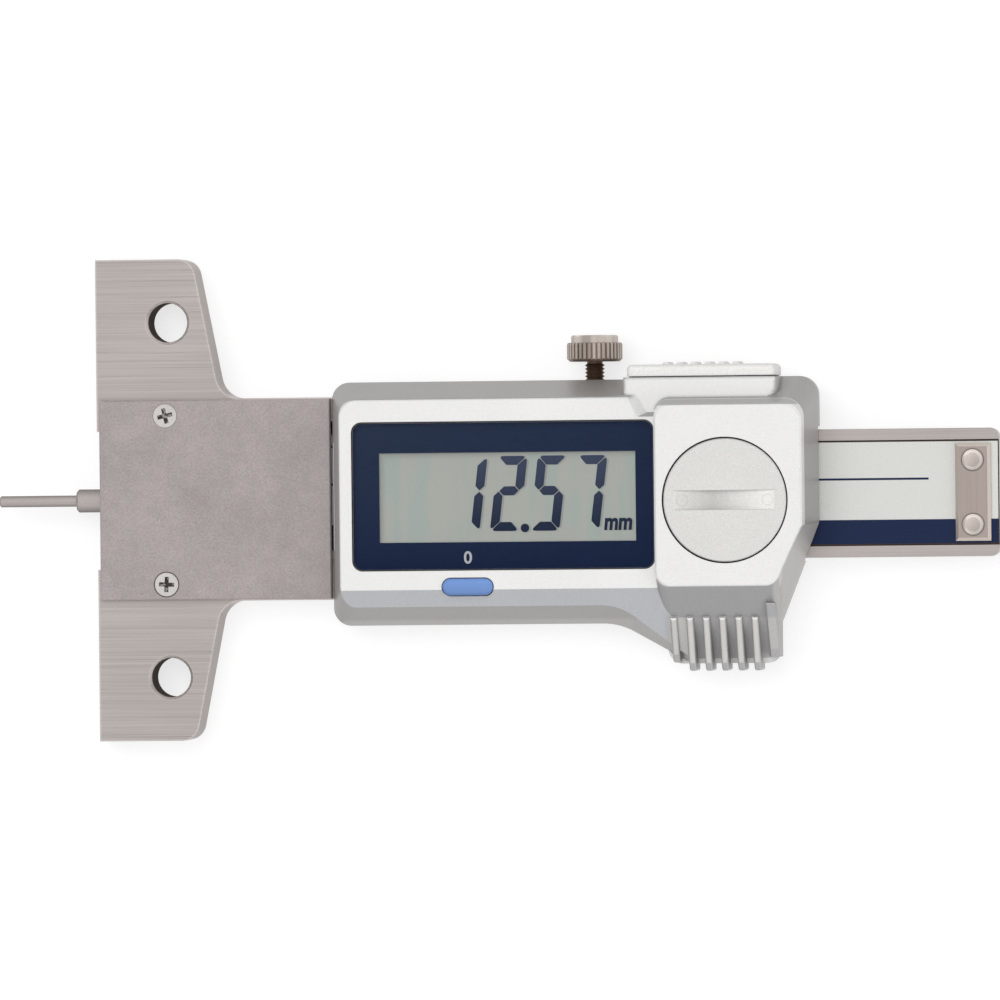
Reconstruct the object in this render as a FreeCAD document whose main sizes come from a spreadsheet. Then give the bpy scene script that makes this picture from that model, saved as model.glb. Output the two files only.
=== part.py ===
"""Digital tire tread depth gauge, lying on its back with the display up.

X runs along the beam from the measuring face, Y along the measuring base, Z up from the back.
All sizes are millimetres or degrees.
"""
import FreeCAD, Part
import os
import re
import Sketcher

# Driving sizes: name, value, what it is
DRIVING = [
    ("base_length", 60.0, "measuring base from end to end"),
    ("base_thickness", 6.0, "steel base, stem and slider frame"),
    ("base_end_width", 12.2, "measuring face to the sloped edge at the base's ends"),
    ("base_root_width", 15.6, "measuring face to the sloped edge at the stem"),
    ("base_corner_radius", 2.2, "outer corners of the base"),
    ("base_edge_bevel", 0.15, "broken edges of the steel parts"),
    ("base_hole_spacing", 44.2, "between the two holes for an extension base"),
    ("base_hole_diameter", 4.9, "holes in the base"),
    ("base_hole_setback", 9.05, "measuring face to the hole centres"),
    ("base_hole_bevel", 0.35, "countersink of the holes"),
    ("stem_width", 25.2, "stem and slider frame"),
    ("stem_fillet_radius", 3.0, "inside corners between base and stem"),
    ("stem_channel_width", 17.2, "channel in the stem"),
    ("channel_floor", 2.4, "steel left under the beam"),
    ("frame_length", 88.6, "measuring face to the far end of the slider frame"),
    ("slide_play", 0.05, "running gap on each sliding face"),
    ("seat_play", 0.05, "gap of a part in its pocket"),
    ("thread_play", 0.02, "gap of a screw in its hole"),
    ("screw_end_room", 0.3, "free depth past a screw's end"),
    ("overrun", 1.0, "how far a cut or a joined part runs past a face"),
    ("beam_head_room", 0.4, "free space round the beam at the housing's far wall"),
    ("plate_setback", 0.45, "measuring face to the cover plate"),
    ("plate_length", 29.05, "cover plate along the beam"),
    ("plate_side_setback", 0.15, "cover plate inside the stem's edge"),
    ("plate_thickness", 1.0, "cover plate"),
    ("plate_screw_setback", 8.75, "measuring face to the plate screws"),
    ("plate_screw_spacing", 21.0, "between the plate screws"),
    ("plate_screw_length", 3.6, "plate screw under the plate's face"),
    ("upper_screw_turn", 13.5, "how the upper plate screw's cross is turned"),
    ("lower_screw_turn", -3.0, "how the lower plate screw's cross is turned"),
    ("screw_head_diameter", 3.0, "small screw heads"),
    ("screw_diameter", 1.6, "small screw shanks"),
    ("cross_span", 1.9, "cross recess from tip to tip"),
    ("cross_width", 0.5, "arms of the cross recess"),
    ("cross_depth", 0.45, "cross recess"),
    ("beam_width", 15.9, "beam across its two rails"),
    ("beam_thickness", 3.5, "beam"),
    ("beam_start", 14.0, "measuring face to the beam's near end"),
    ("beam_length", 98.7, "beam from end to end"),
    ("beam_corner_radius", 1.2, "corners at the beam's far end"),
    ("rail_width", 1.42, "raised rails of the beam"),
    ("recess_depth", 0.5, "sunk face between the rails"),
    ("recess_setback", 9.0, "beam's near end to the start of the sunk face"),
    ("label_gap", 0.13, "scale and label inside the rails"),
    ("scale_thickness", 0.2, "scale strip"),
    ("label_thickness", 0.12, "label film"),
    ("stop_setback", 1.0, "beam's far end to the stop plate"),
    ("stop_width", 4.4, "stop plate along the beam"),
    ("stop_length", 12.1, "stop plate across the beam"),
    ("stop_thickness", 0.8, "stop plate"),
    ("stop_bevel", 0.4, "bevel round the stop plate"),
    ("rivet_spacing", 8.0, "between the stop plate's rivets"),
    ("rivet_diameter", 1.6, "rivet shank"),
    ("rivet_head_diameter", 2.6, "rivet head"),
    ("rivet_flat_diameter", 1.8, "flat on top of the rivet head"),
    ("rivet_head_height", 0.45, "rivet head"),
    ("rivet_rim_height", 0.15, "straight rim of the rivet head"),
    ("reading", 12.57, "how far the pin stands out, as the display says"),
    ("pin_length", 9.8, "thin end of the measuring pin"),
    ("pin_diameter", 1.41, "thin end of the measuring pin"),
    ("pin_tip_bevel", 0.2, "bevel at the tip of the pin"),
    ("shank_diameter", 2.9, "thick part of the measuring pin"),
    ("shank_bevel", 0.25, "bevel where the pin grows thicker"),
    ("tang_diameter", 2.0, "pin inside the beam"),
    ("tang_length", 8.0, "pin inside the beam"),
    ("pin_screw_setback", 4.0, "beam's near end to the screw that holds the pin"),
    ("house_plate_gap", 0.16, "cover plate to the housing's near wall"),
    ("house_right_back", -1.75, "back from the frame's far end: measuring face to the housing's far wall"),
    ("house_top", 14.6, "beam axis to the housing's upper wall"),
    ("display_top", 14.4, "beam axis to the display section's upper wall"),
    ("house_bottom", 15.85, "beam axis to the housing's lower wall"),
    ("skirt_bottom", 4.0, "height of the housing's lower rim"),
    ("wall_foot", 6.2, "height at which the walls begin to lean in"),
    ("display_height", 14.0, "height of the display face"),
    ("block_height", 15.5, "height of the battery block's face"),
    ("left_lean", 1.69, "near wall's lean"),
    ("top_lean", 2.13, "upper wall's lean"),
    ("bottom_lean", 2.75, "lower wall's lean"),
    ("house_corner_radius", 2.2, "corners of the display section"),
    ("relief_top", 7.2, "beam axis to the upper end of the near wall's notch"),
    ("relief_bottom", 6.7, "beam axis to the lower end of the near wall's notch"),
    ("relief_depth", 0.4, "notch in the near wall"),
    ("relief_bevel", 0.3, "slanted ends of that notch"),
    ("face_edge", 0.25, "broken edge round the front faces"),
    ("chin_start", 11.4, "beam axis to the crease under the window"),
    ("chin_run", 2.05, "sloped strip under the window, seen from the front"),
    ("chin_drop", 1.4, "how far that strip falls"),
    ("flank_start_back", 23.2, "back from the frame's far end: start of the slope to the thumb rest"),
    ("flank_slope", 0.56, "slope of the flank next to the thumb rest"),
    ("flank_lean", 3.03, "flank's lean, measured across the beam"),
    ("flank_shift", 0.69, "start of the flank, from its foot to the front face"),
    ("flank_radius", 8.0, "hollow curve at the start of the flank"),
    ("block_left_foot_back", 17.85, "back from the frame's far end: block's near wall at its foot"),
    ("block_left_back", 17.82, "back from the frame's far end: block's near edge"),
    ("block_right_back", -0.51, "back from the frame's far end: block's far edge"),
    ("block_top", 11.4, "block's upper edge"),
    ("block_bottom", 11.37, "block's lower edge"),
    ("slant_start", 3.85, "where the block's far edge turns in"),
    ("slant_knee", 9.2, "end of the straight slanted edge"),
    ("slant_knee_back", 2.0, "back from the frame's far end: end of the straight slanted edge"),
    ("slant_end_back", 2.9, "back from the frame's far end: block's lower far corner"),
    ("slant_foot_start", 3.6, "slanted wall's start at its foot"),
    ("slant_foot_end", 15.9, "slanted wall's end at its foot"),
    ("block_corner_radius", 1.8, "corners of the block"),
    ("top_corner_radius", 2.4, "housing's upper far corner"),
    ("thumb_left_back", 17.1, "back from the frame's far end: near side of the thumb rest"),
    ("thumb_right_back", 3.1, "back from the frame's far end: far side of the thumb rest"),
    ("thumb_bottom", 20.9, "beam axis to the floor between the ribs"),
    ("thumb_ledge", 0.6, "ledge along the foot of the thumb rest"),
    ("rib_count", 5, "full ribs on the thumb rest"),
    ("rib_pitch", 2.02, "from rib to rib"),
    ("rib_width", 0.9, "a rib"),
    ("rib_first_back", 16.37, "back from the frame's far end: near side of the first rib"),
    ("rib_start", 15.05, "beam axis to the start of the ribs"),
    ("rib_tip", 21.8, "beam axis to the ends of the ribs"),
    ("rib_end_tip", 20.75, "end of the first rib"),
    ("rib_last_start", 13.45, "beam axis to the start of the last rib"),
    ("rib_last_tip", 20.15, "end of the last rib"),
    ("rib_fall", 2.6, "how far a rib's crest falls"),
    ("rib_step", 0.5, "height of a rib's start"),
    ("rib_tip_run", 1.0, "slanted end of a rib"),
    ("rib_last_width", 1.25, "the last rib"),
    ("rib_root_depth", 3.0, "ribs inside the thumb rest's floor"),
    ("rib_round", 0.3, "rounding along the ribs"),
    ("port_left_back", 21.7, "back from the frame's far end: near side of the connector boss"),
    ("port_right_back", 2.6, "back from the frame's far end: far side of the connector boss"),
    ("port_height", 13.2, "height of the connector boss"),
    ("port_low", 11.5, "beam axis to the lower edge of the connector boss"),
    ("port_corner_radius", 1.9, "lower far corner of the connector boss"),
    ("scoop_shift", 0.4, "boss's side to the upper end of the slope beside it"),
    ("scoop_low", 9.65, "beam axis to the lower end of the slope beside the boss"),
    ("scoop_side", 12.1, "beam axis to the upper end of that slope's near edge"),
    ("scoop_run", 1.6, "boss's side to the lower end of that slope"),
    ("scoop_wall", 1.3, "width of that slope"),
    ("port_radius", 0.7, "rounding of the connector boss"),
    ("port_cover_low", 3.9, "height of the port cover's back edge"),
    ("port_cover_high", 12.9, "height of the port cover's front edge"),
    ("port_cover_side", 0.38, "port cover inside the boss's sides"),
    ("port_gasket_thickness", 0.12, "gasket under the port cover"),
    ("gasket_inset", 0.3, "gasket inside the port cover's edge"),
    ("port_cover_thickness", 1.45, "port cover"),
    ("port_cover_radius", 0.6, "rounding of the port cover"),
    ("bump_count", 6, "grip bumps on the port cover"),
    ("bump_pitch", 1.735, "from bump to bump"),
    ("bump_width", 0.95, "a grip bump"),
    ("bump_top_width", 0.63, "a grip bump's crest"),
    ("bump_height", 0.3, "a grip bump"),
    ("bump_length", 5.4, "a grip bump"),
    ("bump_first_back", 16.62, "back from the frame's far end: middle of the first bump"),
    ("port_screw_inset", 1.9, "port cover's end to its screw"),
    ("port_screw_length", 3.6, "port cover screw under its head's top"),
    ("pocket_left_back", 16.6, "back from the frame's far end: near side of the connector's pocket"),
    ("pocket_right_back", 7.6, "back from the frame's far end: far side of the connector's pocket"),
    ("pocket_low", 6.6, "lower side of the connector's pocket"),
    ("pocket_high", 11.4, "upper side of the connector's pocket"),
    ("pocket_floor", 11.2, "beam axis to the connector pocket's floor"),
    ("connector_wall", 0.9, "output connector's shell"),
    ("port_face_gap", 0.2, "connector inside the boss's face"),
    ("window_left_run", 3.34, "housing's near wall to: near side of the window recess"),
    ("window_right_back", 17.9, "back from the frame's far end: far side of the window recess"),
    ("window_top", 9.4, "upper side of the window recess"),
    ("window_bottom", 9.05, "lower side of the window recess"),
    ("window_radius", 1.3, "corners of the window recess"),
    ("window_depth", 1.1, "window recess under the display face"),
    ("lens_gap", 0.1, "gap round the window lens"),
    ("lens_thickness", 0.7, "window lens"),
    ("mask_thickness", 0.12, "printed mask behind the lens"),
    ("lcd_view_left_run", 6.68, "housing's near wall to: near side of the visible display"),
    ("lcd_view_right_back", 20.33, "back from the frame's far end: far side of the visible display"),
    ("lcd_view_height", 11.1, "visible display"),
    ("lcd_border", 0.6, "display glass hidden by the mask"),
    ("lcd_thickness", 1.4, "display glass"),
    ("glass_opening_gap", 0.25, "gap round the display glass"),
    ("cavity_left_run", 5.84, "housing's near wall to: near side of the cavity behind the display"),
    ("cavity_top", 11.3, "upper side of that cavity"),
    ("cavity_bottom", 11.6, "lower side of that cavity"),
    ("cavity_height", 12.4, "height of that cavity's roof"),
    ("cavity_right_back", 18.8, "back from the frame's far end: far side of that cavity"),
    ("slot_right_back", 1.8, "back from the frame's far end: far side of the board's slot in the block"),
    ("slot_half_width", 9.1, "half of that slot's width"),
    ("slot_height", 8.7, "height of that slot's roof"),
    ("board_gap", 0.15, "circuit board inside its cavity"),
    ("head_board_thickness", 0.8, "reading head's board"),
    ("head_board_left_run", 7.34, "housing's near wall to: near side of the reading head"),
    ("head_board_right_back", 22.6, "back from the frame's far end: far side of the reading head"),
    ("head_board_half_width", 11.0, "half of the reading head's width"),
    ("plug_height", 0.6, "plug between the two boards"),
    ("plug_length", 10.0, "plug between the two boards"),
    ("plug_inset", 1.0, "plug inside the reading head's near side"),
    ("plug_width", 2.0, "plug between the two boards"),
    ("plug_y", 9.0, "beam axis to the plug's middle"),
    ("board_thickness", 1.0, "main circuit board"),
    ("holder_wall", 1.0, "display holder's rails"),
    ("strip_width", 1.2, "rubber contact strips"),
    ("strip_y", 5.55, "beam axis to a contact strip's middle"),
    ("button_run", 17.7, "housing's near wall to: middle of the button"),
    ("button_y", -11.08, "middle of the button"),
    ("button_length", 6.3, "button's face"),
    ("button_width", 2.1, "button's face"),
    ("button_top", 14.3, "height of the button's face"),
    ("button_bevel", 0.25, "rounding of the button's face"),
    ("button_gap", 0.1, "gap round the button"),
    ("button_flange_side", 0.45, "flange that keeps the button in"),
    ("button_flange_thickness", 0.6, "flange that keeps the button in"),
    ("button_flange_drop", 0.3, "flange under its ceiling"),
    ("button_travel", 0.35, "how far the button goes in"),
    ("well_height", 11.6, "ceiling of the well under the button"),
    ("well_side", 0.35, "well wider than the flange"),
    ("pad_length", 2.0, "rubber pad under the button"),
    ("pad_width", 1.4, "rubber pad under the button"),
    ("switch_side", 3.0, "switch under the button"),
    ("switch_height", 1.1, "switch body"),
    ("plunger_diameter", 1.4, "switch plunger"),
    ("plunger_height", 0.25, "switch plunger"),
    ("press_gap", 0.05, "left between pad and plunger when pressed"),
    ("cap_back", 9.05, "back from the frame's far end: middle of the battery cap"),
    ("cap_y", -0.64, "middle of the battery cap"),
    ("cap_diameter", 15.24, "battery cap's face"),
    ("cap_gap", 0.18, "gap round the battery cap"),
    ("cap_web", 1.2, "battery cap's face plate"),
    ("cap_bevel", 0.15, "edge of the battery cap"),
    ("cap_thread_diameter", 14.0, "battery cap's threaded skirt"),
    ("cap_bore_diameter", 12.2, "inside of the skirt"),
    ("cap_skirt_length", 2.3, "battery cap's threaded skirt"),
    ("cap_skirt_room", 0.3, "free depth past that skirt"),
    ("cap_thread_play", 0.06, "gap in the cap's thread"),
    ("coin_slot_length", 12.8, "coin slot"),
    ("coin_slot_width", 2.4, "coin slot"),
    ("coin_slot_depth", 0.75, "coin slot at its middle, with a round floor"),
    ("ring_thickness", 0.44, "sealing ring's section"),
    ("ring_gap", 0.04, "sealing ring above its seat"),
    ("cell_diameter", 11.6, "button cell"),
    ("cell_height", 5.2, "button cell"),
    ("cell_nose_diameter", 9.2, "button cell's raised face"),
    ("cell_nose_height", 0.5, "button cell's raised face"),
    ("contact_thickness", 0.25, "battery contacts"),
    ("contact_width", 3.0, "battery contacts"),
    ("side_contact_height", 3.0, "side contact"),
    ("clamp_back", 26.21, "back from the frame's far end: clamp screw's axis"),
    ("clamp_head_start", 16.67, "beam axis to the clamp screw's head"),
    ("clamp_knurl_length", 2.35, "knurled part of the head"),
    ("clamp_knurl_diameter", 6.9, "knurled part of the head"),
    ("clamp_rim_length", 0.93, "plain rim of the head"),
    ("clamp_rim_diameter", 5.88, "plain rim of the head"),
    ("clamp_bevel", 0.35, "bevels of the head"),
    ("clamp_flutes", 36, "flutes round the head"),
    ("clamp_flute_width", 0.25, "a flute"),
    ("clamp_flute_floor", 0.17, "a flute at its floor"),
    ("clamp_flute_depth", 0.16, "a flute"),
    ("clamp_thread_diameter", 2.5, "clamp screw's thread"),
    ("clamp_thread_depth", 0.28, "clamp screw's thread"),
    ("clamp_pitch", 0.45, "clamp screw's thread"),
    ("clamp_hole_gap", 0.4, "hole in the housing round the clamp screw"),
    ("shoe_diameter", 2.0, "clamp shoe"),
    ("shoe_gap", 0.35, "clamp shoe to the beam when loose"),
    ("gib_pocket", 9.6, "beam axis to the wall behind the gib strip"),
    ("gib_thickness", 1.0, "gib strip"),
    ("gib_start_run", 1.34, "housing's near wall to: near end of the gib strip"),
    ("gib_end_gap", 1.0, "frame's end to the gib strip"),
    ("gib_hole_gap", 0.2, "hole in the gib strip round the shoe"),
    ("gib_screw_left_run", 12.34, "housing's near wall to: near gib screw"),
    ("gib_screw_right_back", 8.6, "back from the frame's far end: far gib screw"),
    ("gib_screw_diameter", 2.0, "gib screws"),
    ("gib_slot_width", 0.33, "slot of the gib screws"),
    ("gib_screw_sunk", 0.25, "gib screws under the frame's edge"),
    ("leaf_start_back", 22.6, "back from the frame's far end: near end of the leaf spring"),
    ("leaf_length", 10.0, "leaf spring"),
    ("leaf_thickness", 0.12, "leaf spring"),
    ("leaf_edge_gap", 0.3, "leaf spring above the channel's floor"),
    ("post_left_run", 3.34, "housing's near wall to: near housing screws"),
    ("post_upper_right_back", 2.0, "back from the frame's far end: far upper housing screw"),
    ("post_lower_right_back", 5.6, "back from the frame's far end: far lower housing screw"),
    ("post_y", 11.1, "beam axis to the housing screws"),
    ("back_head_diameter", 2.6, "housing screws' heads"),
    ("back_head_height", 0.9, "housing screws' heads"),
    ("back_head_sunk", 0.2, "heads under the back face"),
    ("back_screw_length", 8.4, "housing screws under their heads"),
]

# Places worked out from the driving sizes
PLACES = {
    "half_base": "base_length / 2",
    "screw_head_height": "(screw_head_diameter - screw_diameter) / 2",
    "half_stem": "stem_width / 2",
    "beam_bottom": "base_thickness - slide_play - beam_thickness",
    "beam_top": "base_thickness - slide_play",
    "axis_height": "beam_bottom + beam_thickness / 2",
    "beam_end": "beam_start + beam_length",
    "half_beam": "beam_width / 2",
    "sunk_face": "beam_top - recess_depth",
    "half_sunk": "half_beam - rail_width",
    "strip_start": "beam_start + recess_setback + label_gap",
    "scale_top": "sunk_face + scale_thickness",
    "label_top": "scale_top + label_thickness",
    "stop_right": "beam_end - stop_setback",
    "stop_middle": "stop_right - stop_width / 2",
    "stop_top": "label_top + stop_thickness",
    "shank_start": "pin_length - reading",
    "plate_top": "base_thickness + plate_thickness",
    "plate_end": "plate_setback + plate_length",
    "half_plate": "half_stem - plate_side_setback",
    "house_left": "plate_end + house_plate_gap",
    "window_left": "house_left + window_left_run",
    "lcd_view_left": "house_left + lcd_view_left_run",
    "cavity_left": "house_left + cavity_left_run",
    "head_board_left": "house_left + head_board_left_run",
    "button_x": "house_left + button_run",
    "post_left_x": "house_left + post_left_run",
    "gib_start": "house_left + gib_start_run",
    "gib_screw_left_x": "house_left + gib_screw_left_run",
    "house_right": "frame_length - house_right_back",
    "flank_start": "frame_length - flank_start_back",
    "block_left_foot": "frame_length - block_left_foot_back",
    "block_left": "frame_length - block_left_back",
    "block_right": "frame_length - block_right_back",
    "slant_knee_x": "frame_length - slant_knee_back",
    "slant_end_x": "frame_length - slant_end_back",
    "thumb_left": "frame_length - thumb_left_back",
    "thumb_right": "frame_length - thumb_right_back",
    "rib_first_x": "frame_length - rib_first_back",
    "port_left": "frame_length - port_left_back",
    "port_right": "frame_length - port_right_back",
    "bump_first_x": "frame_length - bump_first_back",
    "pocket_left": "frame_length - pocket_left_back",
    "pocket_right": "frame_length - pocket_right_back",
    "window_right": "frame_length - window_right_back",
    "lcd_view_right": "frame_length - lcd_view_right_back",
    "cavity_right": "frame_length - cavity_right_back",
    "slot_right": "frame_length - slot_right_back",
    "head_board_right": "frame_length - head_board_right_back",
    "cap_x": "frame_length - cap_back",
    "display_reach": "(block_left_foot + cap_x) / 2",
    "clamp_x": "frame_length - clamp_back",
    "gib_screw_right_x": "frame_length - gib_screw_right_back",
    "leaf_start": "frame_length - leaf_start_back",
    "post_upper_right_x": "frame_length - post_upper_right_back",
    "post_lower_right_x": "frame_length - post_lower_right_back",
    "frame_middle": "(beam_end - reading) / 2",
    "beam_wall": "half_beam + slide_play",
    "gib_face": "half_beam + slide_play",
    "gib_back": "gib_face + gib_thickness",
    "gib_end": "frame_length - gib_end_gap",
    "shoe_tip": "half_beam + shoe_gap",
    "lens_seat": "display_height - window_depth",
    "mask_top": "lens_seat + mask_thickness",
    "lens_top": "mask_top + lens_thickness",
    "glass_left": "lcd_view_left - lcd_border",
    "glass_right": "lcd_view_right + lcd_border",
    "half_glass": "lcd_view_height / 2 + lcd_border",
    "glass_top": "lens_seat - slide_play",
    "glass_bottom": "glass_top - lcd_thickness",
    "head_top": "base_thickness + head_board_thickness",
    "board_bottom": "head_top + plug_height",
    "board_top": "board_bottom + board_thickness",
    "half_holder": "half_glass + holder_wall",
    "switch_top": "board_top + switch_height",
    "plunger_top": "switch_top + plunger_height",
    "pad_bottom": "plunger_top + button_travel + press_gap",
    "flange_top": "well_height - button_flange_drop",
    "flange_bottom": "flange_top - button_flange_thickness",
    "cap_bottom": "block_height - cap_web",
    "coin_slot_radius": "(coin_slot_length ^ 2 / 4 + coin_slot_depth ^ 2) / (2 * coin_slot_depth)",
    "cap_seat": "cap_bottom - ring_thickness - 2 * ring_gap",
    "skirt_end": "cap_bottom - cap_skirt_length",
    "cell_bottom": "board_top + contact_thickness",
    "half_cap": "cap_diameter / 2",
    "side_contact_x": "cap_x - cell_diameter / 2 - contact_thickness",
    "slope": "(block_height - wall_foot) / (thumb_bottom - thumb_ledge - block_bottom)",
    "rib_root": "block_height - (rib_start - block_bottom) * slope",
    "chin_slope": "chin_drop / chin_run",
    "port_face": "house_top + port_gasket_thickness",
    "port_middle": "(port_cover_low + port_cover_high) / 2",
    "port_cover_top": "port_face + port_cover_thickness",
    "port_cover_left": "port_left + port_cover_side",
    "port_cover_right": "port_right - port_cover_side",
    "clamp_knurl_end": "clamp_head_start + clamp_knurl_length",
    "clamp_end": "clamp_knurl_end + clamp_rim_length",
    "clamp_tip": "gib_pocket + thread_play",
    "back_seat": "back_head_height + back_head_sunk",
    "front_foot_x": "house_left + left_lean",
    "half_frame_play": "half_stem + seat_play",
    "slant_run": "(house_right - thumb_right) / (slant_foot_end - slant_foot_start)",
    "slant_frame_start": "slant_foot_start + (house_right - frame_length) / 2",
    "slant_foot_frame": "frame_length - (half_stem - slant_frame_start) * slant_run",
    "half_strips": "strip_y + strip_width / 2 + seat_play",
}

doc = FreeCAD.newDocument("tread_depth_gauge")
sheet = doc.addObject("Spreadsheet::Sheet", "Sizes")
for row, (alias, amount, note) in enumerate(DRIVING, start=1):
    sheet.set(f"A{row}", note)
    sheet.set(f"B{row}", str(amount))
    sheet.setAlias(f"B{row}", alias)
doc.recompute()
ALIASES = {alias for alias, _, _ in DRIVING}


def tie(text):
    """Write a formula of named sizes as a formula of sheet cells."""
    def swap(match):
        word = match.group(0)
        if word in PLACES:
            return f"({tie(PLACES[word])})"
        return f"Sizes.{word}" if word in ALIASES else word
    return re.sub(r"[a-z][a-z_]*", swap, str(text))


def size(text):
    """The number that a formula gives."""
    return float(sheet.evalExpression(tie(text)))


def put(thing, x=0, y=0, z=0, turn=None):
    """Place a thing at formulas of the gauge's own frame, turned about an axis if asked."""
    if turn:
        axis, angle = turn
        thing.Placement = FreeCAD.Placement(FreeCAD.Vector(), FreeCAD.Rotation(axis, size(angle)))
    for letter, formula in zip("xyz", (f"{x} - ({PLACES['frame_middle']})", y, z)):
        thing.setExpression(f"Placement.Base.{letter}", tie(formula))


ALONG_Y = (FreeCAD.Vector(1, 0, 0), -90)
ALONG_X = (FreeCAD.Vector(0, 1, 0), 90)
UP = FreeCAD.Vector(0, 0, 1)
TOUCHING = 1e-4


def new_body(label, x=0, y=0, z=0, turn=None):
    body = doc.addObject("PartDesign::Body", label)
    put(body, x, y, z, turn)
    return body


def new_sketch(body, plane, offset):
    """Sketch on an origin plane: XY faces up, XZ faces -Y, YZ faces +X."""
    sketch = body.newObject("Sketcher::SketchObject", "outline")
    origin_plane = next(item for item in body.Origin.OriginFeatures if item.Role == f"{plane}_Plane")
    sketch.AttachmentSupport = [(origin_plane, "")]
    sketch.MapMode = "FlatFace"
    sketch.setExpression("AttachmentOffset.Base.z", tie(offset))
    return sketch


def pin_point(sketch, edge, end, x, y):
    """Hold a point of the sketch at two formulas."""
    for kind, formula in (("DistanceX", x), ("DistanceY", y)):
        number = sketch.addConstraint(Sketcher.Constraint(kind, -1, 1, edge, end, size(formula)))
        sketch.setExpression(f"Constraints[{number}]", tie(formula))


def polygon(body, plane, offset, corners, rounds=None):
    """Closed outline through corners given as pairs of formulas, some of them rounded."""
    sketch = new_sketch(body, plane, offset)
    spots = [FreeCAD.Vector(size(x), size(y), 0) for x, y in corners]
    for here, there in zip(spots, spots[1:] + spots[:1]):
        sketch.addGeometry(Part.LineSegment(here, there))
    for edge in range(len(spots)):
        sketch.addConstraint(Sketcher.Constraint("Coincident", edge, 2, (edge + 1) % len(spots), 1))
    held = {corner: corner for corner in range(len(corners))}
    arcs = []
    for corner, radius in (rounds or {}).items():
        arc = sketch.GeometryCount
        sketch.fillet(corner, 1, size(radius), True, True)
        held[corner] = arc + 1
        sketch.setConstruction(held[corner], True)
        arcs.append((arc, radius))
    for corner, (x, y) in enumerate(corners):
        pin_point(sketch, held[corner], 1, x, y)
    for arc, radius in arcs:
        bound = sketch.addConstraint(Sketcher.Constraint("Radius", arc, size(radius)))
        sketch.setExpression(f"Constraints[{bound}]", tie(radius))
    return sketch


def rectangle(body, plane, offset, low, high, radius=None):
    corners = [(low[0], low[1]), (high[0], low[1]), (high[0], high[1]), (low[0], high[1])]
    rounds = {corner: radius for corner in range(4)} if radius else None
    return polygon(body, plane, offset, corners, rounds)


def circles(body, plane, offset, places, diameter):
    """Equal circles at pairs of formulas."""
    sketch = new_sketch(body, plane, offset)
    for number, (x, y) in enumerate(places):
        centre = FreeCAD.Vector(size(x), size(y), 0)
        sketch.addGeometry(Part.Circle(centre, FreeCAD.Vector(0, 0, 1), size(diameter) / 2))
        bound = sketch.addConstraint(Sketcher.Constraint("Diameter", number, size(diameter)))
        sketch.setExpression(f"Constraints[{bound}]", tie(diameter))
        pin_point(sketch, number, 3, x, y)
    return sketch


def pad(body, sketch, length, flip=False):
    feature = body.newObject("PartDesign::Pad", "pad")
    feature.Profile = sketch
    feature.setExpression("Length", tie(length))
    feature.Reversed = flip
    doc.recompute()
    return feature


def pocket(body, sketch, length, flip=False):
    """Cut against the sketch's normal, or along it if flipped; the solid has to lose volume."""
    before = body.Shape.Volume
    feature = body.newObject("PartDesign::Pocket", "pocket")
    feature.Profile = sketch
    feature.setExpression("Length", tie(length))
    feature.Reversed = flip
    doc.recompute()
    if body.Shape.Volume >= before:
        raise RuntimeError(f"a pocket of {body.Label} cuts nothing")
    return feature


def loft(body, low, high, kind="AdditiveLoft"):
    feature = body.newObject(f"PartDesign::{kind}", "loft")
    feature.Profile = low
    feature.Sections = [high]
    feature.Ruled = True
    doc.recompute()
    return feature


def turned(label, profile, x=0, y=0, z=0, turn=None):
    """Body of revolution: radius and height pairs turned about the body's own Z."""
    body = new_body(label, x, y, z, turn)
    sketch = polygon(body, "XZ", 0, profile)
    feature = body.newObject("PartDesign::Revolution", "revolution")
    feature.Profile = sketch
    feature.ReferenceAxis = (sketch, ["V_Axis"])
    feature.Angle = 360
    doc.recompute()
    return body


def edges_where(body, wanted):
    names = []
    for number, edge in enumerate(body.Tip.Shape.Edges, start=1):
        if wanted(edge):
            names.append(f"Edge{number}")
    return names


def soften(body, kind, amount, wanted):
    """Fillet or Chamfer on the edges that pass a test."""
    names = edges_where(body, wanted)
    if not names:
        raise RuntimeError(f"no edge of {body.Label} to soften")
    before = body.Tip
    feature = body.newObject(f"PartDesign::{kind}", kind.lower())
    feature.Base = (before, names)
    feature.setExpression("Radius" if kind == "Fillet" else "Size", tie(amount))
    doc.recompute()
    if "Invalid" in feature.State or not feature.Shape.isValid():
        raise RuntimeError(f"a {kind} of {body.Label} failed: {feature.getStatusString()}")
    return feature


def close(one, other):
    return abs(one - other) < TOUCHING


def ends(edge):
    return [vertex.Point for vertex in edge.Vertexes]


def at_height(height):
    """Test for edges whose ends lie at a height."""
    return lambda edge: all(close(point.z, size(height)) for point in ends(edge))


def upright(edge):
    first, last = ends(edge)[0], ends(edge)[-1]
    return close(first.x, last.x) and close(first.y, last.y) and not close(first.z, last.z)


def box(label, low, high):
    """Plain block between two corners."""
    block = doc.addObject("Part::Box", label)
    put(block, *low)
    for side, start, end in zip(("Length", "Width", "Height"), low, high):
        block.setExpression(side, tie(f"({end}) - ({start})"))
    return block


def rod(label, x, y, z, diameter, length, turn=None):
    """Plain cylinder from a point along its axis."""
    cylinder = doc.addObject("Part::Cylinder", label)
    put(cylinder, x, y, z, turn)
    cylinder.setExpression("Radius", tie(f"({diameter}) / 2"))
    cylinder.setExpression("Height", tie(length))
    return cylinder


def cut(label, base, tools):
    """Base less its tools; their places are already in the gauge's frame."""
    whole = base
    for number, tool in enumerate(tools, start=1):
        result = doc.addObject("Part::Cut", label if number == len(tools) else f"{label}_step")
        result.Base = whole
        result.Tool = tool
        whole = result
    return whole


def joined(label, shapes):
    result = doc.addObject("Part::MultiFuse", label)
    result.Shapes = shapes
    result.Refine = True
    return result


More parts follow.
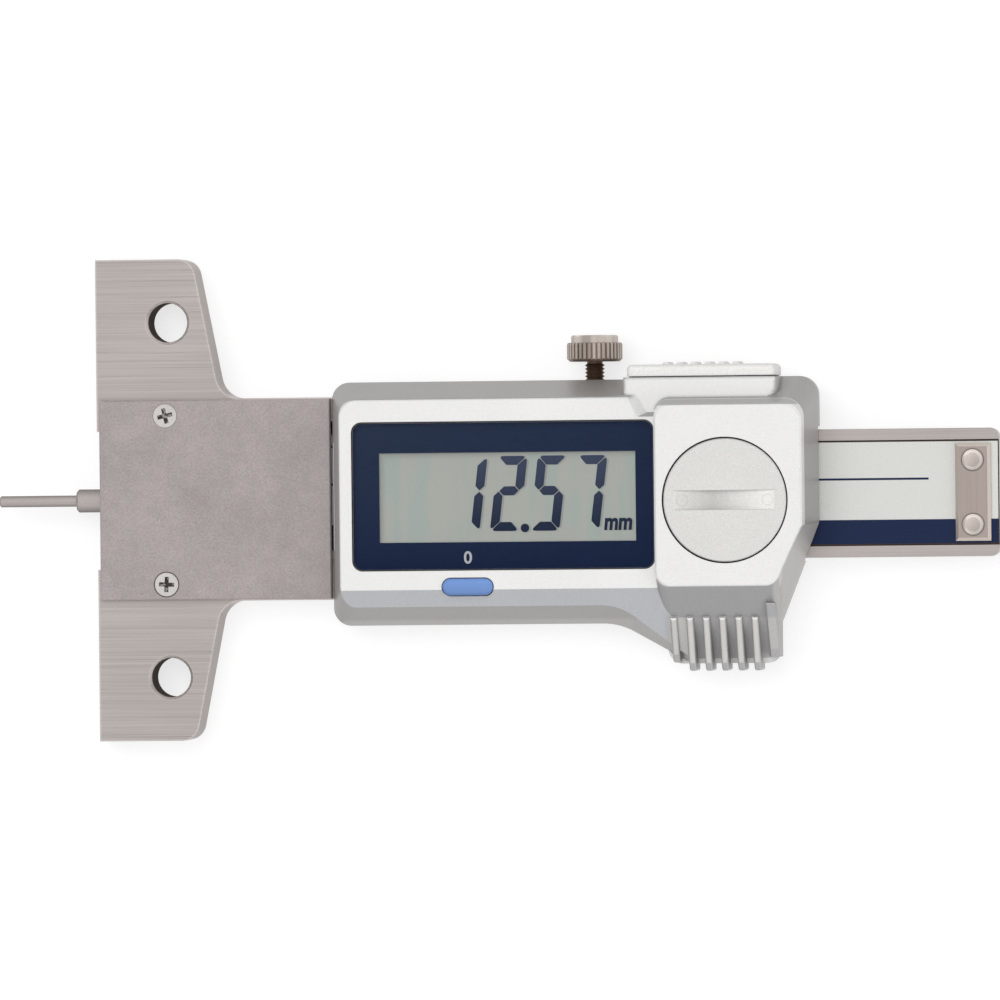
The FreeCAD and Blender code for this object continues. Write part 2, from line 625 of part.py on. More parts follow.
def stadium(label, x, y, low, high, length, width):
    """Upright block with fully round ends."""
    reach = f"(({length}) - ({width})) / 2"
    middle = box(f"{label}_middle", (f"{x} - {reach}", f"{y} - ({width}) / 2", low),
                 (f"{x} + {reach}", f"{y} + ({width}) / 2", high))
    rounds = [rod(f"{label}_end", f"{x} {sign} {reach}", y, low, width, f"({high}) - ({low})")
              for sign in "-+"]
    return joined(label, [middle] + rounds)


def crossed(body, top):
    """Cut a cross recess into a screw head."""
    for along, across in (("cross_span", "cross_width"), ("cross_width", "cross_span")):
        arm = rectangle(body, "XY", top, (f"-{along} / 2", f"-{across} / 2"),
                        (f"{along} / 2", f"{across} / 2"))
        pocket(body, arm, "cross_depth")
    return body


def flat_head_screw(label, x, y, z, length, turn=None):
    """Countersunk screw whose head's top is at its own zero."""
    profile = [("0", "0"), ("screw_head_diameter / 2 - thread_play", "0"),
               ("screw_diameter / 2", "-(screw_head_height)"),
               ("screw_diameter / 2", f"-({length})"), ("0", f"-({length})")]
    return crossed(turned(label, profile, x, y, z, turn), "0")


# Steel base, stem and slider frame, one machined piece

def depth_base():
    body = new_body("depth_base")
    outline = polygon(body, "XY", 0, [
        ("0", "-half_base"), ("base_end_width", "-half_base"),
        ("base_root_width", "-half_stem"), ("slant_foot_frame", "-half_stem"),
        ("frame_length", "-slant_frame_start"), ("frame_length", "half_stem"),
        ("base_root_width", "half_stem"), ("base_end_width", "half_base"), ("0", "half_base")])
    pad(body, outline, "base_thickness")
    soften(body, "Fillet", "base_corner_radius",
           lambda edge: upright(edge) and close(ends(edge)[0].x, size("base_end_width")))
    soften(body, "Fillet", "stem_fillet_radius",
           lambda edge: upright(edge) and close(ends(edge)[0].x, size("base_root_width")))
    bend = size("base_root_width + stem_fillet_radius")
    soften(body, "Chamfer", "base_edge_bevel",
           lambda edge: at_height("base_thickness")(edge) and max(p.x for p in ends(edge)) < bend)
    holes = [("base_hole_setback", f"{sign}base_hole_spacing / 2") for sign in ("", "-")]
    pocket(body, circles(body, "XY", "base_thickness", holes, "base_hole_diameter"), "base_thickness")
    soften(body, "Chamfer", "base_hole_bevel",
           lambda edge: len(edge.Vertexes) == 1 and abs(ends(edge)[0].y) > size("half_stem"))
    stem = rectangle(body, "XY", "base_thickness", ("-overrun", "-stem_channel_width / 2"),
                     ("plate_end", "stem_channel_width / 2"))
    pocket(body, stem, "base_thickness - channel_floor")
    guide = rectangle(body, "XY", "base_thickness", ("plate_end - slide_play", "-beam_wall"),
                      ("frame_length + overrun", "gib_pocket"))
    pocket(body, guide, "base_thickness - channel_floor")
    screws = [("plate_screw_setback", f"{sign}plate_screw_spacing / 2") for sign in ("", "-")]
    pocket(body, circles(body, "XY", "base_thickness", screws, "screw_diameter + 2 * thread_play"),
           "plate_screw_length - plate_thickness + screw_end_room")
    posts = [(x, y) for _, x, y in HOUSING_SCREWS]
    pocket(body, circles(body, "XY", 0, posts, "back_head_diameter + 4 * thread_play"), "back_seat", True)
    pocket(body, circles(body, "XY", 0, posts, "screw_diameter + 4 * thread_play"),
           "base_thickness", True)
    side_bores(body, [("clamp_x", "axis_height")], "clamp_thread_diameter + 2 * thread_play")
    side_bores(body, [("gib_screw_left_x", "axis_height"), ("gib_screw_right_x", "axis_height")],
               "gib_screw_diameter + 2 * thread_play")
    return body


def side_bores(body, places, diameter):
    """Holes from the frame's upper edge down into the channel."""
    pocket(body, circles(body, "XZ", "-half_stem", places, diameter), "half_stem - gib_pocket + overrun",
           True)


def guide_cover_plate():
    body = new_body("guide_cover_plate")
    outline = rectangle(body, "XY", "base_thickness", ("plate_setback", "-half_plate"),
                        ("plate_end", "half_plate"))
    pad(body, outline, "plate_thickness")
    soften(body, "Chamfer", "base_edge_bevel", at_height("plate_top"))
    screws = [("plate_screw_setback", f"{sign}plate_screw_spacing / 2") for sign in ("", "-")]
    pocket(body, circles(body, "XY", "plate_top", screws, "screw_diameter + 2 * thread_play"),
           "plate_thickness")
    soften(body, "Chamfer", "screw_head_height",
           lambda edge: len(edge.Vertexes) == 1 and close(ends(edge)[0].z, size("plate_top")))
    return body


# Moving beam

def beam():
    body = new_body("beam")
    outline = rectangle(body, "XY", "beam_bottom", ("beam_start", "-half_beam"), ("beam_end", "half_beam"))
    pad(body, outline, "beam_thickness")
    soften(body, "Fillet", "beam_corner_radius",
           lambda edge: upright(edge) and close(ends(edge)[0].x, size("beam_end")))
    soften(body, "Chamfer", "base_edge_bevel", at_height("beam_top"))
    sunk = rectangle(body, "XY", "beam_top", ("beam_start + recess_setback", "-half_sunk"),
                     ("beam_end + overrun", "half_sunk"))
    pocket(body, sunk, "recess_depth")
    pocket(body, circles(body, "XY", "beam_top", rivet_places(), "rivet_diameter + 2 * thread_play"),
           "beam_thickness")
    bore = circles(body, "YZ", "beam_start", [("0", "axis_height")], "tang_diameter + 2 * thread_play")
    pocket(body, bore, "tang_length + 2 * thread_play", True)
    screw = [("beam_start + pin_screw_setback", "0")]
    pocket(body, circles(body, "XY", "beam_top", screw, "screw_diameter + 2 * thread_play"),
           "beam_top - axis_height")
    return body


def rivet_places():
    return [("stop_middle", f"{sign}rivet_spacing / 2") for sign in ("", "-")]


def beam_layer(label, low, high, end):
    """Strip between the rails, with holes for the rivets."""
    body = new_body(label)
    strip = rectangle(body, "XY", low, ("strip_start", "label_gap - half_sunk"),
                      (end, "half_sunk - label_gap"))
    pad(body, strip, f"({high}) - ({low})")
    pocket(body, circles(body, "XY", high, rivet_places(), "rivet_diameter + 2 * thread_play"),
           f"({high}) - ({low})")
    return body


def stop_plate():
    body = new_body("stop_plate")
    outline = rectangle(body, "XY", "label_top", ("stop_right - stop_width", "-stop_length / 2"),
                        ("stop_right", "stop_length / 2"))
    pad(body, outline, "stop_thickness")
    soften(body, "Chamfer", "stop_bevel", at_height("stop_top"))
    pocket(body, circles(body, "XY", "stop_top", rivet_places(), "rivet_diameter + 2 * thread_play"),
           "stop_thickness")
    return body


def stop_rivet(label, y):
    profile = [("0", "beam_bottom - stop_top"), ("rivet_diameter / 2", "beam_bottom - stop_top"),
               ("rivet_diameter / 2", "0"), ("rivet_head_diameter / 2", "0"),
               ("rivet_head_diameter / 2", "rivet_rim_height"),
               ("rivet_flat_diameter / 2", "rivet_head_height"), ("0", "rivet_head_height")]
    return turned(label, profile, "stop_middle", y, "stop_top")


def measuring_pin():
    pin, shank, tang = "pin_diameter / 2", "shank_diameter / 2", "tang_diameter / 2"
    profile = [("0", "-reading"), (f"{pin} - pin_tip_bevel", "-reading"),
               (pin, "pin_tip_bevel - reading"), (pin, "shank_start"),
               (f"{shank} - shank_bevel", "shank_start"), (shank, "shank_start + shank_bevel"),
               (shank, "beam_start"), (tang, "beam_start"),
               (tang, "beam_start + tang_length"), ("0", "beam_start + tang_length")]
    return turned("measuring_pin", profile, 0, 0, "axis_height", ALONG_X)


def pin_set_screw():
    return rod("pin_set_screw", "beam_start + pin_screw_setback", 0,
               "axis_height + tang_diameter / 2 + thread_play", "screw_diameter",
               "beam_thickness / 2 - tang_diameter / 2 - 2 * thread_play")


# Moulded housing

HOUSING_SCREWS = [
    ("housing_screw_upper_left", "post_left_x", "post_y"),
    ("housing_screw_lower_left", "post_left_x", "-post_y"),
    ("housing_screw_upper_right", "post_upper_right_x", "post_y"),
    ("housing_screw_lower_right", "post_lower_right_x", "-post_y"),
]


def display_foot():
    """Outline of the display section at its foot, reaching under the block."""
    return [("house_left", "-house_bottom"), ("flank_start", "-house_bottom"),
            ("display_reach", "-house_bottom - (display_reach - flank_start) * flank_slope"),
            ("display_reach", "display_top"), ("house_left", "display_top")]


def display_front(inset):
    return [(f"front_foot_x + {inset}", "bottom_lean - house_bottom"),
            ("flank_start + flank_shift", "bottom_lean - house_bottom"),
            ("display_reach",
             "flank_lean - house_bottom - (display_reach - flank_start) * flank_slope"),
            ("display_reach", f"display_top - top_lean - {inset}"),
            (f"front_foot_x + {inset}", f"display_top - top_lean - {inset}")]


def block_foot(ledge):
    return [("thumb_left", f"{ledge} - thumb_bottom"), ("thumb_right", f"{ledge} - thumb_bottom"),
            ("thumb_right", "-slant_foot_end"), ("house_right", "-slant_foot_start"),
            ("house_right", "house_top"), ("block_left_foot", "house_top")]


def block_front(inset):
    return [(f"block_left + {inset}", f"{inset} - block_bottom"),
            (f"slant_end_x - {inset} / 2", f"{inset} - block_bottom"),
            (f"slant_knee_x - {inset}", "-slant_knee"), (f"block_right - {inset}", "-slant_start"),
            (f"block_right - {inset}", f"block_top - {inset}"),
            (f"block_left + {inset}", f"block_top - {inset}")]


def leaning_walls(body, skirt, foot, front, rounds, height):
    """Upright skirt, leaning walls and the broken edge round the front face."""
    edge = f"{height} - face_edge"
    pad(body, polygon(body, "XY", "skirt_bottom", skirt, rounds), "wall_foot - skirt_bottom")
    loft(body, polygon(body, "XY", "wall_foot", foot, rounds),
         polygon(body, "XY", edge, front("0"), rounds))
    loft(body, polygon(body, "XY", edge, front("0"), rounds),
         polygon(body, "XY", height, front("face_edge"), rounds))


def housing_shell(body):
    """Display section, the sloped strip under its window and the battery block."""
    leaning_walls(body, display_foot(), display_foot(), display_front, {
        0: "house_corner_radius", 1: "flank_radius", 4: "house_corner_radius"}, "display_height")
    chin = polygon(body, "YZ", "house_left - overrun", [
        ("-chin_start", "display_height"), ("-chin_start", "display_height + overrun"),
        ("-thumb_bottom", "display_height + overrun"),
        ("-thumb_bottom", "display_height - (thumb_bottom - chin_start) * chin_slope")])
    pocket(body, chin, "thumb_right - house_left", True)
    boss_scoop(body)
    leaning_walls(body, block_foot("0"), block_foot("thumb_ledge"), block_front, {
        0: "block_corner_radius", 1: "block_corner_radius",
        4: "top_corner_radius", 5: "block_corner_radius"}, "block_height")


def thumb_ribs(body):
    """Ribs whose crests fall more gently than the sloped face that they stand on."""
    def rib(x, start, tip, width):
        root = f"(block_height - ({start} - block_bottom) * slope)"
        sketch = polygon(body, "YZ", x, [
            (f"-({start})", f"{root} + rib_step"), (f"-({tip}) + rib_tip_run", "rib_root - rib_fall"),
            (f"-({tip})", "rib_root - rib_fall - rib_tip_run"), (f"-({tip})", "skirt_bottom"),
            ("rib_root_depth - thumb_bottom", "skirt_bottom"), ("rib_root_depth - thumb_bottom", "wall_foot"),
            (f"-({start})", f"{root} - overrun")])
        return pad(body, sketch, width)

    rib("rib_first_x", "rib_start", "rib_end_tip", "rib_width")
    full = rib("rib_first_x + rib_pitch", "rib_start", "rib_tip", "rib_width")
    row = body.newObject("PartDesign::LinearPattern", "ribs")
    row.Originals = [full]
    row.Direction = (next(item for item in body.Origin.OriginFeatures if item.Role == "X_Axis"), [""])
    row.setExpression("Length", tie("rib_pitch * (rib_count - 1)"))
    row.setExpression("Occurrences", tie("rib_count"))
    body.Tip = row
    doc.recompute()
    soften(body, "Fillet", "rib_round", rib_edge)
    rib("thumb_right - rib_last_width", "rib_last_start", "rib_last_tip", "rib_last_width")
    near, crest = size("thumb_right - rib_last_width"), size("rib_root - rib_fall")
    soften(body, "Fillet", "rib_round", lambda edge: crest_end(edge, crest)
           and all(close(point.x, near) for point in ends(edge)))


def rib_edge(edge):
    """Test for the edges of a rib's crest and of its two ends."""
    first, last = ends(edge)[0], ends(edge)[-1]
    crest, low = size("rib_root - rib_fall"), size("rib_root - rib_fall - rib_tip_run")
    if close(first.x, last.x):
        down = close(first.y, last.y) and close(max(first.z, last.z), low)
        return rib_side(first.x) and (down or crest_end(edge, crest))
    across = close(first.z, last.z) and close(first.y, last.y) and rib_side(first.x)
    return across and any(close(first.z, height) for height in (crest, low, size("rib_root + rib_step")))


def crest_end(edge, crest):
    return any(close(point.z, crest) for point in ends(edge))


def rib_side(x):
    """Test for the planes of the ribs' sides."""
    first, pitch, width = size("rib_first_x"), size("rib_pitch"), size("rib_width")
    sides = [first + pitch * number + side for number in range(int(size("rib_count")) + 1)
             for side in (0, width)]
    return any(close(x, side) for side in sides)


def boss_scoop(body):
    """Slope that cuts the display section's upper corner beside the connector boss."""
    def outline(inset):
        return [(f"port_left + {inset}", "display_top + overrun"),
                (f"port_left + scoop_shift + {inset}", "scoop_side"),
                (f"port_left + scoop_run + {inset}", f"scoop_low + {inset} / 2"),
                ("cap_x", f"scoop_low + {inset} / 2"), ("cap_x", "display_top + overrun")]

    low = polygon(body, "XY", "port_height", outline("scoop_wall"))
    high = polygon(body, "XY", "display_height", outline("0"))
    loft(body, low, high, "SubtractiveLoft")


def connector_boss(body):
    boss = polygon(body, "XY", "skirt_bottom", [
        ("port_left", "port_low"), ("port_right", "port_low"), ("port_right", "house_top"),
        ("port_left", "house_top")], {1: "port_corner_radius"})
    pad(body, boss, "port_height - skirt_bottom")
    far = size("port_right - port_corner_radius")
    soften(body, "Fillet", "port_radius",
           lambda edge: at_height("port_height")(edge) and max(p.x for p in ends(edge)) > far + TOUCHING
           and min(p.x for p in ends(edge)) > far - TOUCHING)


def housing_openings(body):
    """Everything cut into the housing for what it holds."""
    frame = polygon(body, "XY", "skirt_bottom", [
        ("house_left - overrun", "-half_frame_play"), ("slant_foot_frame + seat_play", "-half_frame_play"),
        ("frame_length + seat_play", "-slant_frame_start - seat_play"),
        ("frame_length + seat_play", "half_frame_play"), ("house_left - overrun", "half_frame_play")])
    pocket(body, frame, "base_thickness + seat_play - skirt_bottom", True)
    tunnel = rectangle(body, "YZ", "slant_foot_frame",
                       ("-half_beam - beam_head_room", "skirt_bottom - overrun"),
                       ("half_beam + beam_head_room", "wall_foot"))
    pocket(body, tunnel, "house_right - slant_foot_frame + overrun", True)
    deep = "house_left + relief_depth"
    relief = polygon(body, "XY", "plate_top", [
        ("house_left - overrun", "-relief_bottom"), ("house_left", "-relief_bottom"),
        (deep, "relief_bevel - relief_bottom"), (deep, "relief_top - relief_bevel"),
        ("house_left", "relief_top"), ("house_left - overrun", "relief_top")])
    pocket(body, relief, "block_height - plate_top", True)
    window = rectangle(body, "XY", "display_height", ("window_left", "-window_bottom"),
                       ("window_right", "window_top"), "window_radius")
    pocket(body, window, "window_depth")
    glass = rectangle(body, "XY", "lens_seat",
                      ("glass_left - glass_opening_gap", "-half_glass - glass_opening_gap"),
                      ("glass_right + glass_opening_gap", "half_glass + glass_opening_gap"))
    pocket(body, glass, "lens_seat - wall_foot")
    cavity = rectangle(body, "XY", "wall_foot - overrun", ("cavity_left", "-cavity_bottom"),
                       ("cavity_right", "cavity_top"))
    pocket(body, cavity, "cavity_height - wall_foot + overrun", True)
    slot = rectangle(body, "XY", "wall_foot - overrun", ("cavity_right - overrun", "-slot_half_width"),
                     ("slot_right", "slot_half_width"))
    pocket(body, slot, "slot_height - wall_foot + overrun", True)
    reach = "(button_flange_side + well_side)"
    well = rectangle(body, "XY", "wall_foot - overrun",
                     (f"button_x - button_length / 2 - {reach}", f"button_y - button_width / 2 - {reach}"),
                     (f"button_x + button_length / 2 + {reach}", f"button_y + button_width / 2 + {reach}"))
    pocket(body, well, "well_height - wall_foot + overrun", True)
    half_width = "(button_width / 2 + button_gap)"
    half_run = "(button_length - button_width) / 2"
    slot_middle = rectangle(body, "XY", "well_height - overrun",
                            (f"button_x - {half_run}", f"button_y - {half_width}"),
                            (f"button_x + {half_run}", f"button_y + {half_width}"))
    pocket(body, slot_middle, "display_height - well_height + 2 * overrun", True)
    for sign in "-+":
        end = circles(body, "XY", "well_height - overrun", [(f"button_x {sign} {half_run}", "button_y")],
                      f"2 * {half_width}")
        pocket(body, end, "display_height - well_height + 2 * overrun", True)


def battery_bores(body):
    steps = [("cap_diameter + 2 * cap_gap", "cap_seat"),
             ("cap_thread_diameter + 2 * cap_thread_play", "skirt_end - cap_skirt_room"),
             ("cap_bore_diameter", "slot_height - overrun")]
    for diameter, floor in steps:
        bore = circles(body, "XY", "block_height", [("cap_x", "cap_y")], diameter)
        pocket(body, bore, f"block_height - ({floor})")
    groove = rectangle(body, "XY", "slot_height - overrun",
                       ("side_contact_x - seat_play", "cap_y - contact_width / 2 - seat_play"),
                       ("cap_x", "cap_y + contact_width / 2 + seat_play"))
    pocket(body, groove, "board_top + side_contact_height + seat_play - slot_height + overrun", True)


def fixing_holes(body):
    posts = [(x, y) for _, x, y in HOUSING_SCREWS]
    pocket(body, circles(body, "XY", "wall_foot - overrun", posts, "screw_diameter + 2 * thread_play"),
           "back_screw_length + back_head_sunk + screw_end_room - wall_foot + overrun", True)
    pocket(body, circles(body, "XZ", "-house_top - overrun", [("clamp_x", "axis_height")],
                         "clamp_thread_diameter + 2 * clamp_hole_gap"),
           "house_top - half_stem + overrun", True)
    connector = rectangle(body, "XZ", "-house_top - overrun", ("pocket_left", "pocket_low"),
                          ("pocket_right", "pocket_high"))
    pocket(body, connector, "house_top - pocket_floor + overrun", True)
    cover = [(x, "port_middle") for x in PORT_SCREWS.values()]
    pocket(body, circles(body, "XZ", "-house_top - overrun", cover, "screw_diameter + 2 * thread_play"),
           "port_screw_length - port_cover_thickness - port_gasket_thickness + screw_end_room + overrun",
           True)


PORT_SCREWS = {
    "port_cover_screw_left": "port_cover_left + port_screw_inset",
    "port_cover_screw_right": "port_cover_right - port_screw_inset",
}


def front_housing():
    body = new_body("front_housing")
    housing_shell(body)
    connector_boss(body)
    thumb_ribs(body)
    housing_openings(body)
    battery_bores(body)
    fixing_holes(body)
    return body


# Display and electronics

def display_mask():
    body = new_body("display_mask")
    sheet_outline = rectangle(body, "XY", "lens_seat",
                              ("window_left + lens_gap", "lens_gap - window_bottom"),
                              ("window_right - lens_gap", "window_top - lens_gap"),
                              "window_radius - lens_gap")
    pad(body, sheet_outline, "mask_thickness")
    view = rectangle(body, "XY", "mask_top", ("lcd_view_left", "-lcd_view_height / 2"),
                     ("lcd_view_right", "lcd_view_height / 2"))
    pocket(body, view, "mask_thickness")
    return body


def display_lens():
    body = new_body("display_lens")
    outline = rectangle(body, "XY", "mask_top", ("window_left + lens_gap", "lens_gap - window_bottom"),
                        ("window_right - lens_gap", "window_top - lens_gap"),
                        "window_radius - lens_gap")
    pad(body, outline, "lens_thickness")
    soften(body, "Chamfer", "lens_gap", at_height("lens_top"))
    return body


def lcd_panel():
    return box("lcd_panel", ("glass_left", "-half_glass", "glass_bottom"),
               ("glass_right", "half_glass", "glass_top"))


def lcd_holder():
    """Frame that carries the display glass above the circuit board."""
    outer = box("holder_outside", ("glass_left", "-half_holder", "board_top"),
                ("glass_right", "half_holder", "glass_bottom"))
    inner = box("holder_inside", ("glass_left + 2 * holder_wall", "-half_strips", "board_top - overrun"),
                ("glass_right - 2 * holder_wall", "half_strips", "glass_bottom + overrun"))
    return cut("lcd_holder", outer, [inner])


def lcd_connector(label, sign):
    return box(label, ("glass_left + 2 * holder_wall + seat_play", f"{sign}strip_y - strip_width / 2",
                       "board_top"),
               ("glass_right - 2 * holder_wall - seat_play", f"{sign}strip_y + strip_width / 2",
                "glass_bottom"))


def main_circuit_board():
    wide = box("board_display", ("cavity_left + board_gap", "board_gap - cavity_bottom", "board_bottom"),
               ("cavity_right - board_gap", "cavity_top - board_gap", "board_top"))
    narrow = box("board_battery", ("cavity_right - 2 * board_gap", "board_gap - slot_half_width",
                                   "board_bottom"),
                 ("slot_right - board_gap", "slot_half_width - board_gap", "board_top"))
    tab = box("board_tab", ("button_x - switch_side", "button_y - switch_side / 2 - board_gap",
                            "board_bottom"),
              ("button_x + switch_side", "-cavity_bottom + overrun", "board_top"))
    return joined("main_circuit_board", [wide, narrow, tab])


def reading_head():
    """Sensing board lying face down on the frame, over the scale."""
    return box("reading_head", ("head_board_left", "-head_board_half_width", "base_thickness"),
               ("head_board_right", "head_board_half_width", "head_top"))


def board_connector():
    return box("board_connector", ("head_board_left + plug_inset", "plug_y - plug_width / 2", "head_top"),
               ("head_board_left + plug_inset + plug_length", "plug_y + plug_width / 2", "board_bottom"))


def tact_switch():
    half = "switch_side / 2"
    case = box("switch_case", (f"button_x - {half}", f"button_y - {half}", "board_top"),
               (f"button_x + {half}", f"button_y + {half}", "switch_top"))
    plunger = rod("switch_plunger", "button_x", "button_y", "board_top", "plunger_diameter",
                  "switch_height + plunger_height")
    return joined("tact_switch", [case, plunger])


def origin_button():
    stem = stadium("button_stem", "button_x", "button_y", "flange_bottom", "button_top",
                   "button_length", "button_width")
    doc.recompute()
    rounded = doc.addObject("Part::Chamfer", "button_stem_rounded")
    rounded.Base = stem
    rounded.Edges = [(number, size("button_bevel"), size("button_bevel"))
                     for number, edge in enumerate(stem.Shape.Edges, start=1)
                     if at_height("button_top")(edge)]
    flange = stadium("button_flange", "button_x", "button_y", "flange_bottom", "flange_top",
                     "button_length + 2 * button_flange_side", "button_width + 2 * button_flange_side")
    return joined("origin_button", [rounded, flange])


def button_pad():
    return box("button_pad", ("button_x - pad_length / 2", "button_y - pad_width / 2", "pad_bottom"),
               ("button_x + pad_length / 2", "button_y + pad_width / 2", "flange_bottom"))


def output_connector():
    play, shell = "seat_play", "connector_wall"
    outer = box("connector_case", (f"pocket_left + {play}", "pocket_floor", f"pocket_low + {play}"),
                (f"pocket_right - {play}", "house_top - port_face_gap", f"pocket_high - {play}"))
    mouth = box("connector_mouth",
                (f"pocket_left + {shell}", f"pocket_floor + {shell}", f"pocket_low + {shell}"),
                (f"pocket_right - {shell}", "house_top + overrun", f"pocket_high - {shell}"))
    return cut("output_connector", outer, [mouth])


# Battery compartment

def button_cell():
    nose = "cell_nose_diameter / 2"
    profile = [("0", "0"), (nose, "0"), (nose, "cell_nose_height"),
               ("cell_diameter / 2", "cell_nose_height"), ("cell_diameter / 2", "cell_height"),
               ("0", "cell_height")]
    return turned("button_cell", profile, "cap_x", "cap_y", "cell_bottom")


def battery_contact_lower():
    return box("battery_contact_lower", ("cap_x - cell_nose_diameter / 2", "cap_y - contact_width / 2",
                                         "board_top"),
               ("cap_x + contact_width / 2", "cap_y + contact_width / 2", "cell_bottom"))


def battery_contact_side():
    """Upright spring blade beside the cell, in the housing's battery well."""
    return box("battery_contact_side", ("side_contact_x", "cap_y - contact_width / 2", "board_top"),
               ("side_contact_x + contact_thickness", "cap_y + contact_width / 2",
                "board_top + side_contact_height"))


def battery_cap():
    thread, bore = "cap_thread_diameter / 2", "cap_bore_diameter / 2"
    profile = [("0", "0"), ("half_cap - cap_bevel", "0"), ("half_cap", "-cap_bevel"),
               ("half_cap", "-cap_web"), (thread, "-cap_web"),
               (thread, "-cap_web - cap_skirt_length"), (bore, "-cap_web - cap_skirt_length"),
               (bore, "-cap_web"), ("0", "-cap_web")]
    body = turned("battery_cap", profile, "cap_x", "cap_y", "block_height")
    scoop = circles(body, "XZ", "-coin_slot_width / 2", [("0", "coin_slot_radius - coin_slot_depth")],
                    "2 * coin_slot_radius")
    pocket(body, scoop, "coin_slot_width", True)
    return body


def cap_o_ring():
    ring = doc.addObject("Part::Torus", "cap_o_ring")
    put(ring, "cap_x", "cap_y", "cap_bottom - ring_gap - ring_thickness / 2")
    ring.setExpression("Radius2", tie("ring_thickness / 2"))
    ring.setExpression("Radius1", tie("cap_thread_diameter / 2 + 2 * ring_gap + ring_thickness / 2"))
    return ring


# Output port cover

def port_gasket():
    body = new_body("port_gasket")
    sheet_outline = rectangle(body, "XZ", "-house_top",
                              ("port_cover_left + gasket_inset", "port_cover_low + gasket_inset"),
                              ("port_cover_right - gasket_inset", "port_cover_high - gasket_inset"))
    pad(body, sheet_outline, "port_gasket_thickness", True)
    cover = [(x, "port_middle") for x in PORT_SCREWS.values()]
    pocket(body, circles(body, "XZ", "-house_top - port_gasket_thickness", cover,
                         "screw_diameter + 2 * thread_play"), "port_gasket_thickness", True)
    return body


def port_cover():
    body = new_body("port_cover")
    outline = rectangle(body, "XZ", "-port_face", ("port_cover_left", "port_cover_low"),
                        ("port_cover_right", "port_cover_high"))
    pad(body, outline, "port_cover_thickness", True)
    outer = size("port_cover_top")
    soften(body, "Fillet", "port_cover_radius",
           lambda edge: all(close(point.y, outer) for point in ends(edge))
           or not close(ends(edge)[0].y, ends(edge)[-1].y))
    near, far = "bump_first_x - bump_width / 2", "bump_first_x + bump_width / 2"
    root, crest = "port_cover_top - bump_height", "port_cover_top + bump_height"
    bump = polygon(body, "XY", "port_middle - bump_length / 2", [
        (near, root), (far, root), (far, "port_cover_top"),
        ("bump_first_x + bump_top_width / 2", crest), ("bump_first_x - bump_top_width / 2", crest),
        (near, "port_cover_top")])
    first = pad(body, bump, "bump_length")
    row = body.newObject("PartDesign::LinearPattern", "bumps")
    row.Originals = [first]
    row.Direction = (next(item for item in body.Origin.OriginFeatures if item.Role == "X_Axis"), [""])
    row.setExpression("Length", tie("bump_pitch * (bump_count - 1)"))
    row.setExpression("Occurrences", tie("bump_count"))
    body.Tip = row
    doc.recompute()
    cover = [(x, "port_middle") for x in PORT_SCREWS.values()]
    pocket(body, circles(body, "XZ", "-port_cover_top", cover, "screw_diameter + 2 * thread_play"),
           "port_cover_thickness", True)
    soften(body, "Chamfer", "screw_head_height",
           lambda edge: len(edge.Vertexes) == 1 and close(ends(edge)[0].y, outer))
    return body


# Clamp and gib

def clamp_screw():
    """Knurled thumb screw; its own Z runs from the beam axis outwards."""
    knurl, rim, thread = "clamp_knurl_diameter / 2", "clamp_rim_diameter / 2", "clamp_thread_diameter / 2"
    core = f"{thread} - clamp_thread_depth"
    turns = int(size("(clamp_head_start - half_stem) / clamp_pitch")) - 1
    profile = [("0", "clamp_tip"), (core, "clamp_tip"), (thread, "clamp_tip + clamp_thread_depth"),
               (thread, "half_stem")]
    for number in range(turns):
        low = f"half_stem + clamp_pitch * {number}"
        profile += [(core, f"{low} + clamp_pitch / 2"), (thread, f"{low} + clamp_pitch")]
    profile += [(core, f"half_stem + clamp_pitch * {turns} + clamp_pitch / 2"), (core, "clamp_head_start"),
                (f"{knurl} - clamp_bevel", "clamp_head_start"),
                (knurl, "clamp_head_start + clamp_bevel"),
                (knurl, "clamp_knurl_end - clamp_bevel / 2"),
                (f"{knurl} - clamp_bevel / 2", "clamp_knurl_end"),
                (rim, "clamp_knurl_end"), (rim, "clamp_end - clamp_bevel / 2"),
                (f"{rim} - clamp_bevel / 2", "clamp_end"), ("0", "clamp_end")]
    body = turned("clamp_screw", profile, "clamp_x", 0, "axis_height", ALONG_Y)
    mouth, floor, deep = "clamp_flute_width / 2", "clamp_flute_floor / 2", f"{knurl} - clamp_flute_depth"
    flute = polygon(body, "XY", "clamp_head_start - overrun", [
        (deep, f"-{floor}"), (knurl, f"-{mouth}"), (f"{knurl} + overrun", f"-{mouth}"),
        (f"{knurl} + overrun", mouth), (knurl, mouth), (deep, floor)])
    cut_one = pocket(body, flute, "clamp_knurl_length + 2 * overrun", True)
    row = body.newObject("PartDesign::PolarPattern", "flutes")
    row.Originals = [cut_one]
    row.Axis = (next(item for item in body.Origin.OriginFeatures if item.Role == "Z_Axis"), [""])
    row.Angle = 360
    row.setExpression("Occurrences", tie("clamp_flutes"))
    body.Tip = row
    doc.recompute()
    return body


def clamp_shoe():
    return rod("clamp_shoe", "clamp_x", "shoe_tip", "axis_height", "shoe_diameter",
               "gib_pocket - shoe_tip", ALONG_Y)


def gib_strip():
    strip = box("gib_blank", ("gib_start", "gib_face", "channel_floor + slide_play"),
                ("gib_end", "gib_back", "beam_top"))
    hole = rod("gib_hole", "clamp_x", "gib_face - overrun", "axis_height", "shoe_diameter + 2 * gib_hole_gap",
               "gib_thickness + 2 * overrun", ALONG_Y)
    return cut("gib_strip", strip, [hole])


